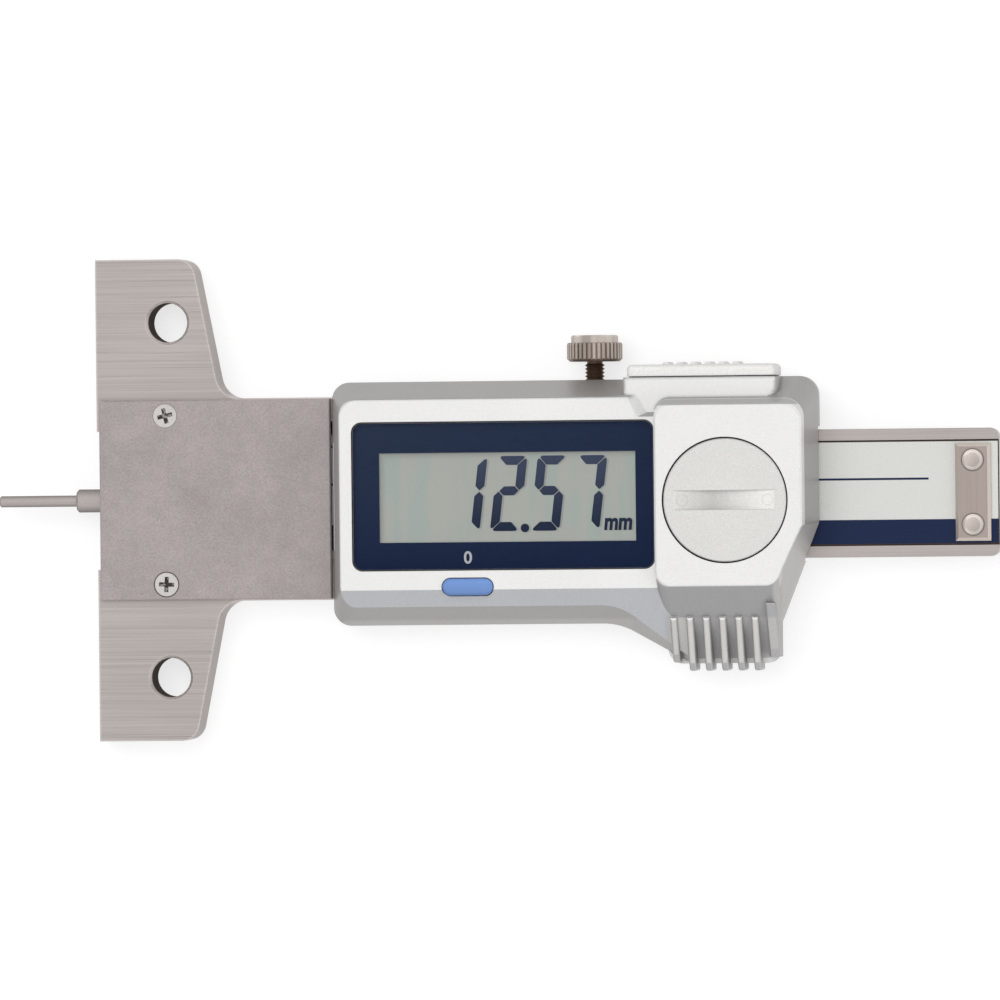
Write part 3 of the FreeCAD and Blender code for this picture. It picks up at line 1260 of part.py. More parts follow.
def gib_screw(label, x):
    """Slotted set screw that presses the gib strip."""
    shank = rod(f"{label}_shank", x, "gib_back", "axis_height", "gib_screw_diameter",
                "half_stem - gib_screw_sunk - gib_back", ALONG_Y)
    slot = box(f"{label}_slot", (f"{x} - gib_screw_diameter", "half_stem - 2 * gib_screw_sunk",
                                 "axis_height - gib_slot_width / 2"),
               (f"{x} + gib_screw_diameter", "half_stem + overrun", "axis_height + gib_slot_width / 2"))
    return cut(label, shank, [slot])


def gib_leaf_spring():
    """Bent spring strip between the gib strip and the wall behind it."""
    body = new_body("gib_leaf_spring")
    end, quarter = "leaf_start + leaf_length", "leaf_length / 4"
    thick = "leaf_thickness"
    bend = polygon(body, "XY", "channel_floor + leaf_edge_gap", [
        ("leaf_start", f"gib_pocket - {thick}"), (f"leaf_start + {quarter}", "gib_back"),
        (f"{end} - {quarter}", "gib_back"), (end, f"gib_pocket - {thick}"), (end, "gib_pocket"),
        (f"{end} - {quarter}", f"gib_back + {thick}"), (f"leaf_start + {quarter}", f"gib_back + {thick}"),
        ("leaf_start", "gib_pocket")])
    pad(body, bend, "beam_top - channel_floor - 2 * leaf_edge_gap")
    return body


def housing_screw(label, x, y):
    """Pan head screw from the back, with its head sunk in the frame."""
    head, shank = "back_head_diameter / 2", "screw_diameter / 2"
    profile = [("0", "0"), (head, "0"), (head, "-back_head_height"), (shank, "-back_head_height"),
               (shank, "-back_screw_length"), ("0", "-back_screw_length")]
    body = turned(label, profile, x, y, "back_head_sunk", (FreeCAD.Vector(1, 0, 0), 180))
    return crossed(body, "0")


PIECES = [
    depth_base(),
    guide_cover_plate(),
    flat_head_screw("cover_plate_screw_upper", "plate_screw_setback", "plate_screw_spacing / 2",
                    "plate_top", "plate_screw_length", (UP, "upper_screw_turn")),
    flat_head_screw("cover_plate_screw_lower", "plate_screw_setback", "-plate_screw_spacing / 2",
                    "plate_top", "plate_screw_length", (UP, "lower_screw_turn")),
    beam(),
    beam_layer("scale_strip", "sunk_face", "scale_top", "beam_end - label_gap"),
    beam_layer("scale_label", "scale_top", "label_top", "beam_end - label_gap"),
    stop_plate(),
    stop_rivet("stop_rivet_upper", "rivet_spacing / 2"),
    stop_rivet("stop_rivet_lower", "-rivet_spacing / 2"),
    measuring_pin(),
    pin_set_screw(),
    front_housing(),
    display_mask(),
    display_lens(),
    lcd_panel(),
    lcd_holder(),
    lcd_connector("lcd_connector_upper", ""),
    lcd_connector("lcd_connector_lower", "-"),
    main_circuit_board(),
    reading_head(),
    board_connector(),
    tact_switch(),
    origin_button(),
    button_pad(),
    output_connector(),
    button_cell(),
    battery_contact_lower(),
    battery_contact_side(),
    battery_cap(),
    cap_o_ring(),
    port_gasket(),
    port_cover(),
    clamp_screw(),
    clamp_shoe(),
    gib_strip(),
    gib_leaf_spring(),
    gib_screw("gib_screw_left", "gib_screw_left_x"),
    gib_screw("gib_screw_right", "gib_screw_right_x"),
]
PIECES += [flat_head_screw(label, x, "port_cover_top", "port_middle", "port_screw_length", ALONG_Y)
           for label, x in PORT_SCREWS.items()]
PIECES += [housing_screw(*screw) for screw in HOUSING_SCREWS]

doc.recompute()
faults = [item.Label for item in doc.Objects if {"Invalid", "Error"} & set(item.State)]
faults += [piece.Label for piece in PIECES if piece.Shape.isNull() or not piece.Shape.isValid()
           or not piece.Shape.Solids]
if faults:
    raise RuntimeError(f"these objects failed: {faults}")
os.makedirs("parts", exist_ok=True)
for piece in PIECES:
    piece.Shape.exportStep(f"parts/{piece.Label}.step")
print(f"{len(PIECES)} pieces written")
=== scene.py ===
"""Looks of the tread depth gauge: finishes, display digits, printed label, light and camera."""

import math

import bmesh
import bpy
from mathutils import Matrix, Vector


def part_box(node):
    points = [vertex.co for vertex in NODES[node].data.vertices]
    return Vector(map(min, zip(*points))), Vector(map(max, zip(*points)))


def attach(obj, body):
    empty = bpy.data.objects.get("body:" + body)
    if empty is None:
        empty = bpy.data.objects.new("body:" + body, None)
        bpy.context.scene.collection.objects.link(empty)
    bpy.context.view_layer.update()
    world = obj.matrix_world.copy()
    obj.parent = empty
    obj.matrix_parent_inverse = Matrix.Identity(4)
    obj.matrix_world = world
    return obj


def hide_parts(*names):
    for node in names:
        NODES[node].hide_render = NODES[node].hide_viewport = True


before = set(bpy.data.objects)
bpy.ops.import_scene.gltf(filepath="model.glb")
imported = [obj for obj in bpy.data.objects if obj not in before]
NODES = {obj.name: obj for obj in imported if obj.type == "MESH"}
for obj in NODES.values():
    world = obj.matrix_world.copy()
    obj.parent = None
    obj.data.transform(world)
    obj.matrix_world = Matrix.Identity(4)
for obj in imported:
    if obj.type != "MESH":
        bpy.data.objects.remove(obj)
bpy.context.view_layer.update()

# Lengths are in millimetres of the CAD's frame: X runs along the beam, Y across it and Z up from the
# back. Only the camera, the lamps and the floor are placed in metres.
MM = 0.001
X, Y, Z = range(3)

# Where the camera stood, fitted to the photograph
CAMERA_SPOT = Vector((185.0, 5.1, 1556.4)) * MM
CAMERA_TARGET = Vector((0.73, -0.39, 8.0)) * MM
CAMERA_ROLL = math.radians(-0.608)
CAMERA_LENS = 452.5
SENSOR_WIDTH = 36

# Light: the sky gets weaker from the top to the side
PURE_WHITE = (1, 1, 1, 1)
WHITE = 1.0
SKY_TOP = 0.62
SKY_SIDE = 0.3
SKY_SPAN = (0.15, 0.95)
FLOOR_SHADE = (0.36, 0.36, 0.36)
FLOOR_GLOW = 0.72
FLOOR_SIZE = 3.0
FLOOR_DROP = 0.02 * MM
KEY_SPOT = Vector((-0.2, 0.4, 1.3))
KEY_SIZE = 1.0
KEY_WATTS = 8.65
FILL_SPOT = Vector((0.85, -0.45, 0.45))
FILL_SIZE = 0.6
FILL_WATTS = 3.2

# Colours, as linear light
WARM_STEEL = (0.455, 0.415, 0.40)
PLATE_STEEL = (0.42, 0.375, 0.37)
BRIGHT_STEEL = (0.60, 0.58, 0.56)
RIVET_STEEL = (0.53, 0.47, 0.43)
# Painted highlight on the rivets' sloped rims
RIVET_RIM = (0.74, 0.68, 0.63)
STOP_STEEL = (0.40, 0.335, 0.31)
# Bevels of the stop plate: brighter as wear and as a painted highlight
STOP_EDGE = (0.62, 0.55, 0.50)
PIN_STEEL = (0.44, 0.40, 0.385)
# Painted shade down the pin's sides
PIN_DARK = (0.10, 0.085, 0.08)
SCREW_STEEL = (0.42, 0.36, 0.32)
RIM_STEEL = (0.56, 0.50, 0.455)
GIB_STEEL = (0.34, 0.33, 0.32)
BRASS = (0.62, 0.44, 0.16)
THREAD_BROWN = (0.14, 0.09, 0.065)
# Painted shade in gaps, grooves and recesses
SHADE_BROWN = (0.055, 0.038, 0.03)
# Painted shade on the walls of the base's holes
HOLE_SHADE = (0.11, 0.085, 0.07)
RUB_COLOUR = (0.26, 0.23, 0.225)
SILVER_PAINT = (0.83, 0.825, 0.81)
CAP_SILVER = (0.71, 0.705, 0.685)
COVER_SILVER = (0.84, 0.83, 0.81)
MARK_GREY = (0.40, 0.39, 0.38)
LENS_TINT = (0.55, 0.56, 0.58)
NAVY = (0.008, 0.018, 0.058)
# Painted reflection on the navy print
NAVY_GLARE = (0.026, 0.040, 0.080)
LCD_GREY = (0.445, 0.455, 0.42)
LCD_GREEN = (0.40, 0.455, 0.42)
LCD_SHADE = (0.22, 0.225, 0.225)
DIGIT_NAVY = (0.020, 0.030, 0.062)
# Painted reflection on the upper part of the digits
DIGIT_GLARE = (0.060, 0.075, 0.125)
DIGIT_SHADOW = (0.35, 0.365, 0.345)
BUTTON_BLUE = (0.155, 0.285, 0.62)
LABEL_SILVER = (0.69, 0.695, 0.67)
LEGEND_GREY = (0.52, 0.53, 0.55)
SCALE_GREEN = (0.10, 0.16, 0.11)
BOARD_GREEN = (0.03, 0.16, 0.07)
RUBBER_BLACK = (0.02, 0.02, 0.02)
CONNECTOR_BLACK = (0.03, 0.03, 0.032)
HOLDER_WHITE = (0.7, 0.7, 0.68)

# Painted shade: factors that multiply a finish's own colour on sides and slopes
SIDE_SHADE = (0.60, 0.55, 0.52)
SLOPE_SHADE = (0.47, 0.455, 0.448)
THUMB_SHADE = (0.45, 0.45, 0.465)
CHIN_SHADE = (0.61, 0.62, 0.66)
CREST_SHADE = (0.74, 0.73, 0.715)

# Below, a SPAN is the two ends of a range, a SPREAD the steps under and over a finish's roughness, and
# other pairs of shares are a level and its softness. SHADES are factors at the two ends.

# Noise: the part of its range that counts, and the softness of a painted border
NOISE_SPAN = (0.3, 0.7)
SOFT = 0.03
BOX_SOFT = 0.04
BEVEL_SAMPLES = 6

# Steel: grain sizes, how much the colour follows them, roughness spreads and depths of relief
STEEL_SHARE = 0.7
STREAK_LENGTH = 22.0
STREAK_WIDTH = 0.17
BROAD_WIDTH = 0.7
STREAK_CLOUD = 14.0
STREAK_CLOUD_SHARE = 0.035
STREAK_SPREAD = (0.06, 0.1)
STREAK_DEPTH = 0.004
SATIN_CLOUD = 5.0
SATIN_SHARE = 0.05
SATIN_SPREAD = (0.05, 0.08)
SATIN_DEPTH = 0.006

# Measuring base: its two holes with painted shade on their walls, its rounded edges with a painted highlight,
# and its sides with painted shade
HOLE_X = 9.05
HOLE_Y = 22.1
HOLE_REACH = 2.9
WALL_LEAN = (0.5, 0.2)
SIDE_LEAN = (0.5, 0.1)
FLANGE_ROUND = 0.16
FLANGE_START = (0.62, 0.08)
FLANGE_END = (0.97, 0.02)
EDGE_SHINE = 1.35

# Beam: painted shade in the grooves beside the label
GROOVE_DEPTH = 0.3
GROOVE_REACH = 0.3
GROOVE_SOFT = 0.05
END_LEAN = 0.5

# Stop plate, rivets and pin: painted highlights on the plate's bevels and the rivets' rims, painted light and
# shade across the rivets, and painted shade round the rivets and down the pin's sides
RIVETS = ("stop_rivet_upper", "stop_rivet_lower")
RIVET_FLAT = 0.95
RIVET_MARGIN = 0.2
DOME_REACH = 1.3
DOME_SHADES = (0.72, 1.28)
RIVET_RING = 0.13
RING_SHARE = 0.7
STOP_FLAT = (0.9, 0.08)
PIN_SPAN = (0.25, 0.92)

# Cross recesses of the screws, with painted shade and painted glints
RECESS_START = 0.12
RECESS_SOFT = 0.05
GLEAM_SIZE = 0.35
GLEAM_SPAN = (0.5, 0.62)
GLEAM_SHARE = 0.5

# Cover plate: grain sizes with their shares, and rubbing marks as centre, radius and width
PLATE_GRAINS = ((0.24, 0.15), (1.6, 0.045), (8.0, 0.06))
PLATE_SPREAD = (0.06, 0.08)
PLATE_DEPTH = 0.008
RUB_MARKS = (((-44.0, -9.0, 0), 11.5, 0.14), ((-42.5, -7.5, 0), 9.0, 0.1), ((-30.0, -14.0, 0), 17.0, 0.12))
RUB_PATCH = 7.0
RUB_SPAN = (0.42, 0.62)
RUB_SHARE = 0.22
# Width of the painted shade in the gap round the lower screw
SCREW_RING = 0.12

# Silver paint: flakes, mottle, clouds and orange peel
COAT_WEIGHT = 0.15
COAT_ROUGHNESS = 0.25
FLAKE_SHARE = 0.1
MOTTLE_SIZE = 0.4
MOTTLE_SHARE = 0.022
PAINT_CLOUD = 9.0
PAINT_CLOUD_SHARE = 0.015
PEEL_SIZE = 0.5
PAINT_SPREAD = (0.06, 0.08)
PAINT_DEPTH = 0.004
PAINT_EDGE = 0.16

# Housing: radii of its edges, and where its slopes count as steep, gentle or level for the painted shade
PAINT_ROUND = 0.12
BOSS_ROUND = 0.9
BOSS_SAMPLES = 12
BOSS_REACH = 1.2
BOSS_DEPTH = 4.0
STEEP_SPAN = (0.45, 0.6)
GENTLE_SPAN = (0.72, 0.82)
LEVEL_SPAN = (0.86, 0.99)
SCOOP_UP = 0.8
SCOOP_ACROSS = (0.05, 0.05)
SCOOP_SHARE = 0.75
EDGE_ACROSS = (-0.3, 0.1)
LENS_SUNK = 0.28
EDGE_WIDTH = 0.13
NOTCH_REACH = 0.7
NOTCH_RISE = 0.1

# Housing: painted light in the thumb ribs' valleys and on the slanted far side, and painted shade on the
# ledge over the block
RIB_START = 15.2
RIB_REACH = 7.6
THUMB_SOFT = 0.2
RIB_SOFT = 0.1
VALLEY_LEAN = (0.5, 0.1)
VALLEY_SHINE = 1.25
SLANT_ASIDE = (0.4, 0.1)
SLANT_ACROSS = (-0.25, 0.1)
SLANT_SHINE = 1.3
BLOCK_TOP = 11.4
BLOCK_REACH = 9.0
LEDGE_WIDTH = 0.3
LEDGE_DEPTH = 1.5
LEDGE_RISE = 0.1
LEDGE_SHADE = 0.55

# Housing: painted shade in the gaps round the lens and the cap
GAP_MARGIN = 0.22
GAP_DEPTH = 1.0
BORE_START = 0.1

# Battery cap: painted sheen in its coin slot, from the dip outwards, and the marks at the slot's ends
SLOT_START = 0.06
SLOT_DIP = 1.5
SLOT_RISE = 5.0
DIP_SHADES = (1.05, 0.74)
RISE_SHADES = (1.0, 1.62)
MARK_SPOT = 5.3
MARK_RADIUS = 0.68
MARK_WIDTH = 0.1
MARK_SHARE = 0.35

# Plastics, rubbers, boards and the button
PLASTIC_SPECK = 0.25
PLASTIC_CLOUD = 4.0
PLASTIC_SPREAD = (0.05, 0.07)
PLASTIC_DEPTH = 0.005
# Painted light and shade on the button, from its lower to its upper edge
BUTTON_SHADES = (0.76, 1.2)

# Window: the print behind the lens, the display glass and the lens
PRINT_SPECK = 0.6
PRINT_SHARE = 0.04
PRINT_DEPTH = 0.002
# Painted reflection on the print: its share at the far end and how it falls off
GLARE_END = 0.35
GLARE_POWER = 0.7
COLUMN_SIZE = (1.6, 9.0, 9.0)
COLUMN_SPAN = (0.45, 0.62)
GLASS_SPECK = 0.12
GLASS_SHARE = 0.02
GLASS_DEPTH = 0.001
VIEW_INSET = 0.6
SHADE_REACH = 1.1
SHADE_POWER = 2.0
SHADE_SHARE = 0.75
LENS_CLOUD = 6.0
LENS_SHARE = 0.03
LENS_DEPTH = 0.002
LENS_INDEX = 1.2
LENS_FLAT = (0.9, 0.05)
LENS_EDGE_SHARE = 0.3
LENS_LIFT = 0.02

# Label on the beam: a navy band below BAND_TOP and a thin line that ends at LINE_END
LABEL_GLOSS = 0.2
LABEL_SPECK = 0.14
LABEL_SHARE = 0.05
LABEL_SPREAD = (0.05, 0.05)
LABEL_DEPTH = 0.003
LABEL_RIM = 0.1
BAND_TOP = -3.31
LINE_Y = 1.72
LINE_WIDTH = 0.22
LINE_END = 53.9
LINE_SOFT = 0.05

# Clamp screw: heights of its head and rim along Y, and the floor of the head's flutes, which get painted
# shade
HEAD_START = 16.67
RIM_START = 19.0
FLUTE_FLOOR = 3.36
FLUTE_SHARE = 0.75
HEAD_SOFT = 0.05
HEAD_STREAKS = (1.1, 40.0, 1.1)
HEAD_SHARE = 0.3
END_SHARE = 0.05
END_FLAT = (0.8, 0.1)

# Print on the display, placed in the measuring face's frame: X from that face
DATUM_X = 50.065
INK_HEIGHT = 0.012
READING = "1257"
DIGIT_PITCH = 4.97
DIGIT_WIDTH = 2.57
DIGIT_HEIGHT = 8.17
DIGIT_MIDDLE = 0.54
DIGIT_SLANT = math.tan(math.radians(6.8))
SEGMENT_WIDTH = 1.12
SEGMENT_GAP = 0.05
TIP_GAP = 1.5 * SEGMENT_GAP
CORNER_ROUND = 1.3
CORNER_STEPS = 5
FIRST_DIGIT = Vector((45.72, -3.66))
POINT_SPOT = Vector((54.44, -3.86))
POINT_RADIUS = 0.53
POINT_CORNERS = 32
SHADOW_SHIFT = Vector((0.24, -0.05))
UNIT_SPOT = Vector((64.25, -4.12))
UNIT_SIZE = 2.85
UNIT_SQUEEZE = 0.8
UNIT_WEIGHT = 0.11
ZERO_SPOT = Vector((46.8, -8.15))
ZERO_SIZE = 2.1
ZERO_WEIGHT = 0.04

# Segments that each digit shows
SEGMENTS = {
    "1": ("upper_right", "lower_right"),
    "2": ("top", "upper_right", "middle", "lower_left", "bottom"),
    "5": ("top", "upper_left", "middle", "lower_right", "bottom"),
    "7": ("top", "upper_right", "lower_right"),
}

# Edges sharper than this stay crisp
SMOOTH_ANGLE = math.radians(28)

# Sockets of the Mix node when it mixes colours
MIX_SHARE, MIX_FIRST, MIX_SECOND, MIX_RESULT = 0, 6, 7, 2


def join(tree, target, value):
    """Link an output to an input, or set the input's number."""
    if isinstance(value, bpy.types.NodeSocket):
        tree.links.new(value, target)
    else:
        target.default_value = value


def new_node(tree, kind, inputs=None, **settings):
    """A node with its settings made and its inputs joined."""
    node = tree.nodes.new(kind)
    for setting, value in settings.items():
        setattr(node, setting, value)
    for socket, value in (inputs or {}).items():
        join(tree, node.inputs[socket], value)
    return node


def placed(name, data):
    """A new object in the scene."""
    item = bpy.data.objects.new(name, data)
    bpy.context.scene.collection.objects.link(item)
    return item


def box(node):
    """Lower corner, upper corner and middle of a CAD node, in millimetres."""
    low, high = (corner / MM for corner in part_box(node))
    return low, high, (low + high) / 2


class Finish:
    """A procedural material in the CAD's own coordinates, with lengths in millimetres."""

    def __init__(self, name, colour, metallic=0.0, roughness=0.5):
        self.material = bpy.data.materials.new(name)
        self.material.use_nodes = True
        self.tree = self.material.node_tree
        self.shader = self.tree.nodes["Principled BSDF"]
        self.colour = colour
        self.roughness = roughness
        self.put("Base Color", (*colour, 1))
        self.put("Metallic", metallic)
        self.put("Roughness", roughness)
        self.coordinates = self.add("ShaderNodeTexCoord").outputs
        self.place = self.coordinates["Object"]

    def put(self, socket, value):
        """Give one of the shader's inputs a number, a colour or another node's output."""
        join(self.tree, self.shader.inputs[socket], value)

    def linked(self, socket):
        """The output that feeds one of the shader's inputs."""
        return self.shader.inputs[socket].links[0].from_socket

    def paint(self, colour):
        self.put("Base Color", colour)

    def painted(self):
        return self.linked("Base Color")

    def add(self, kind, inputs=None, **settings):
        return new_node(self.tree, kind, inputs, **settings)

    def sums(self, operation, first, second=0.0):
        return self.add("ShaderNodeMath", {0: first, 1: second}, operation=operation).outputs[0]

    def absolute(self, source):
        return self.sums("ABSOLUTE", source)

    def minus(self, first, second):
        return self.sums("SUBTRACT", first, second)

    def less(self, share):
        return self.minus(1.0, share)

    def both(self, *shares):
        """Product of shares, each a socket or a number."""
        total = shares[0]
        for share in shares[1:]:
            total = self.sums("MULTIPLY", total, share)
        return total

    def either(self, first, second):
        return self.sums("MAXIMUM", first, second)

    def ranged(self, source, low, high, to_low=0.0, to_high=1.0):
        return self.add("ShaderNodeMapRange", {
            "Value": source, "From Min": low, "From Max": high,
            "To Min": to_low, "To Max": to_high}).outputs[0]

    def above(self, source, level, soft=SOFT):
        """1 above a level and 0 below it."""
        return self.ranged(source, level - soft, level + soft)

    def below(self, source, level, soft=SOFT):
        """1 below a level and 0 above it."""
        return self.ranged(source, level - soft, level + soft, 1.0, 0.0)

    def split(self, vector):
        return self.add("ShaderNodeSeparateXYZ", {0: vector}).outputs

    def along(self, axis):
        """Position along an axis."""
        return self.both(self.split(self.place)[axis], 1 / MM)

    def facing(self, axis):
        """Part of the surface's own normal along an axis."""
        return self.split(self.coordinates["Normal"])[axis]

    def rounded(self, radius, samples=BEVEL_SAMPLES):
        """The surface's normal with its edges rounded by a radius."""
        return self.add("ShaderNodeBevel", {"Radius": radius * MM}, samples=samples).outputs[0]

    def radius(self, centre, around=Z):
        """Distance from the line that runs along an axis through a point."""
        scale = [0 if axis == around else 1 / MM for axis in (X, Y, Z)]
        shift = [0 if axis == around else -centre[axis] for axis in (X, Y, Z)]
        spot = self.add("ShaderNodeMapping", {"Vector": self.place, "Location": shift, "Scale": scale})
        return self.add("ShaderNodeVectorMath", {0: spot.outputs[0]}, operation="LENGTH").outputs["Value"]

    def ring(self, centre, radius, width):
        """1 on a circle round Z and 0 off it."""
        off = self.absolute(self.minus(self.radius(centre), radius))
        return self.ranged(off, 0.0, width, 1.0, 0.0)

    def inside(self, low, high):
        """1 inside a box given by two corners and 0 outside it."""
        shares = []
        for axis in (X, Y, Z):
            place = self.along(axis)
            shares.append(self.above(place, low[axis], BOX_SOFT))
            shares.append(self.below(place, high[axis], BOX_SOFT))
        return self.both(*shares)

    def grain(self, size, detail=2.0):
        """Noise with patches of one size, or of three sizes along X, Y and Z."""
        sizes = size if isinstance(size, tuple) else (size, size, size)
        scale = [1 / (length * MM) for length in sizes]
        spot = self.add("ShaderNodeMapping", {"Vector": self.place, "Scale": scale})
        noise = {"Vector": spot.outputs[0], "Scale": 1.0, "Detail": detail}
        return self.add("ShaderNodeTexNoise", noise).outputs["Fac"]

    def mixed(self, share, first, second):
        """Mix of two colours, each a socket or three numbers."""
        first, second = (value if isinstance(value, bpy.types.NodeSocket) else (*value, 1)
                         for value in (first, second))
        node = self.add("ShaderNodeMix", data_type="RGBA")
        for socket, value in ((MIX_SHARE, share), (MIX_FIRST, first), (MIX_SECOND, second)):
            join(self.tree, node.inputs[socket], value)
        return node.outputs[MIX_RESULT]

    def scaled(self, colour, factor):
        return self.add("ShaderNodeVectorMath", {0: colour, "Scale": factor}, operation="SCALE").outputs[0]

    def tinted(self, colour, tint):
        return self.add("ShaderNodeVectorMath", {0: colour, 1: tint}, operation="MULTIPLY").outputs[0]

    def lit(self, colour, share, factor):
        """The colour times a factor where a share is 1."""
        return self.scaled(colour, self.ranged(share, 0.0, 1.0, 1.0, factor))

    def shaded(self, noise, amount, colour=None):
        """The colour made darker and lighter by an amount that follows a noise."""
        return self.scaled(colour or self.colour, self.ranged(noise, *NOISE_SPAN, 1 - amount, 1 + amount))

    def roughen(self, noise, spread):
        """Roughness that follows a noise, between two steps below and above the finish's own."""
        down, up = spread
        self.put("Roughness", self.ranged(noise, *NOISE_SPAN, self.roughness - down, self.roughness + up))

    def relief(self, noise, depth, edge=0.0):
        """Bump of a depth, on edges rounded by a radius."""
        bump = self.add("ShaderNodeBump", {"Strength": 1.0, "Distance": depth * MM, "Height": noise})
        if edge:
            join(self.tree, bump.inputs["Normal"], self.rounded(edge))
        self.put("Normal", bump.outputs[0])

    def matt(self):
        """Take the gloss off print that lies behind a window."""
        self.put("Specular IOR Level", 0.0)


def streak(along, length, width):
    return tuple(length if axis == along else width for axis in (X, Y, Z))


def brushed(name, colour, along, roughness=0.34, contrast=0.1, edge=0.08):
    """Steel with a long grain along one axis."""
    finish = Finish(name, colour, STEEL_SHARE, roughness)
    fine = finish.grain(streak(along, STREAK_LENGTH, STREAK_WIDTH))
    broad = finish.grain(streak(along, 3 * STREAK_LENGTH, BROAD_WIDTH), detail=3)
    cloud = finish.grain(STREAK_CLOUD, detail=1)
    streaked = finish.shaded(broad, contrast / 4, finish.shaded(fine, contrast))
    finish.paint(finish.shaded(cloud, STREAK_CLOUD_SHARE, streaked))
    finish.roughen(fine, STREAK_SPREAD)
    finish.relief(fine, STREAK_DEPTH, edge)
    return finish


def satin_steel(name, colour, roughness=0.38, edge=0.08, speck=0.35):
    """Steel with a fine even finish."""
    finish = Finish(name, colour, STEEL_SHARE, roughness)
    fine = finish.grain(speck, detail=4)
    cloud = finish.grain(SATIN_CLOUD)
    finish.paint(finish.shaded(cloud, SATIN_SHARE, finish.shaded(fine, SATIN_SHARE)))
    finish.roughen(cloud, SATIN_SPREAD)
    finish.relief(fine, SATIN_DEPTH, edge)
    return finish


def silver_paint(name, colour, speck=0.1):
    """Moulded plastic under silver paint with fine flakes."""
    finish = Finish(name, colour, metallic=0.15, roughness=0.42)
    finish.put("Coat Weight", COAT_WEIGHT)
    finish.put("Coat Roughness", COAT_ROUGHNESS)
    flakes = finish.grain(speck)
    mottle = finish.grain(MOTTLE_SIZE, detail=3)
    speckled = finish.shaded(mottle, MOTTLE_SHARE, finish.shaded(flakes, FLAKE_SHARE))
    finish.paint(finish.shaded(finish.grain(PAINT_CLOUD), PAINT_CLOUD_SHARE, speckled))
    finish.roughen(flakes, PAINT_SPREAD)
    finish.relief(finish.sums("ADD", flakes, finish.grain(PEEL_SIZE)), PAINT_DEPTH, PAINT_EDGE)
    return finish


def plain_plastic(name, colour, roughness=0.45, contrast=0.03, edge=0.1):
    """Moulded plastic, rubber or coated board with a fine texture."""
    finish = Finish(name, colour, roughness=roughness)
    fine = finish.grain(PLASTIC_SPECK, detail=3)
    cloud = finish.grain(PLASTIC_CLOUD)
    finish.paint(finish.shaded(cloud, contrast, finish.shaded(fine, contrast)))
    finish.roughen(fine, PLASTIC_SPREAD)
    finish.relief(fine, PLASTIC_DEPTH, edge)
    return finish


def base_finish():
    """Brushed steel with a painted highlight on its rounded edges, painted shade on its sides that face +X,
    and painted shade on the walls of its two holes.
    """
    finish = brushed("base_brushed", WARM_STEEL, along=X, roughness=0.33, contrast=0.12, edge=0.1)
    wall = finish.below(finish.facing(Z), *WALL_LEAN)
    side = finish.both(wall, finish.above(finish.facing(X), *SIDE_LEAN))
    # Painted shade on the sides that face +X
    colour = finish.mixed(side, finish.painted(), finish.tinted(finish.painted(), SIDE_SHADE))
    upward = finish.split(finish.rounded(FLANGE_ROUND))[Z]
    edge = finish.both(finish.above(upward, *FLANGE_START), finish.below(upward, *FLANGE_END))
    # Painted highlight on the rounded edges
    colour = finish.lit(colour, edge, EDGE_SHINE)
    for hole_y in (-HOLE_Y, HOLE_Y):
        reach = finish.radius((HOLE_X - DATUM_X, hole_y, 0))
        # Painted shade on the walls of the two holes
        dark = finish.both(finish.below(reach, HOLE_REACH), wall)
        colour = finish.mixed(dark, colour, HOLE_SHADE)
        finish.put("Roughness", finish.either(finish.linked("Roughness"), dark))
    finish.paint(colour)
    return finish


def beam_finish():
    """Brushed steel with painted shade in the grooves beside the label."""
    finish = brushed("beam_brushed", WARM_STEEL, along=X, contrast=0.09)
    _, high, middle = box("beam")
    side = box("scale_label")[1].y + GROOVE_REACH
    height = finish.along(Z)
    groove = finish.both(finish.below(height, high.z - GROOVE_DEPTH, GROOVE_SOFT),
                         finish.above(height, middle.z),
                         finish.below(finish.absolute(finish.along(Y)), side),
                         finish.below(finish.absolute(finish.facing(X)), END_LEAN))
    # Painted shade in the grooves beside the label
    finish.paint(finish.mixed(groove, finish.painted(), SHADE_BROWN))
    return finish


def rivet_finish():
    """Rivet heads with a painted highlight on their sloped rim, and painted light and shade across them,
    lighter towards the upper left, as on a dome.
    """
    finish = satin_steel("rivet_steel", RIVET_STEEL, roughness=0.3, edge=0.25)
    flat = finish.above(finish.absolute(finish.facing(Z)), RIVET_FLAT)
    # Painted highlight on the sloped rims
    colour = finish.mixed(flat, RIVET_RIM, finish.painted())
    for node in RIVETS:
        _, high, middle = box(node)
        reach = high.x - middle.x
        near = finish.below(finish.radius(middle), reach + RIVET_MARGIN)
        # Painted light and shade across each head, lighter towards the upper left
        lean = finish.minus(finish.minus(finish.along(Y), middle.y), finish.minus(finish.along(X), middle.x))
        dome = finish.ranged(lean, -DOME_REACH * reach, DOME_REACH * reach, *DOME_SHADES)
        colour = finish.mixed(near, colour, finish.scaled(colour, dome))
    finish.paint(colour)
    return finish


def stop_finish():
    """Warm brushed plate with bevels brighter, partly as wear and partly as a painted highlight, and painted
    shade in rings round its rivets.
    """
    finish = brushed("stop_brushed", STOP_STEEL, along=Y, contrast=0.07, edge=0.12)
    flat = finish.above(finish.facing(Z), *STOP_FLAT)
    # Bevels brighter, as wear and as a painted highlight
    colour = finish.mixed(flat, STOP_EDGE, finish.painted())
    for node in RIVETS:
        ring = dark_ring(finish, node, RIVET_RING)
        # Painted shade in the gap round each rivet
        colour = finish.mixed(finish.both(ring, RING_SHARE), colour, SHADE_BROWN)
    finish.paint(colour)
    return finish


def dark_ring(finish, node, width):
    """1 in a ring just outside a round head, where painted shade goes in the gap."""
    _, high, middle = box(node)
    return finish.ring(middle, high.x - middle.x + width / 2, width)


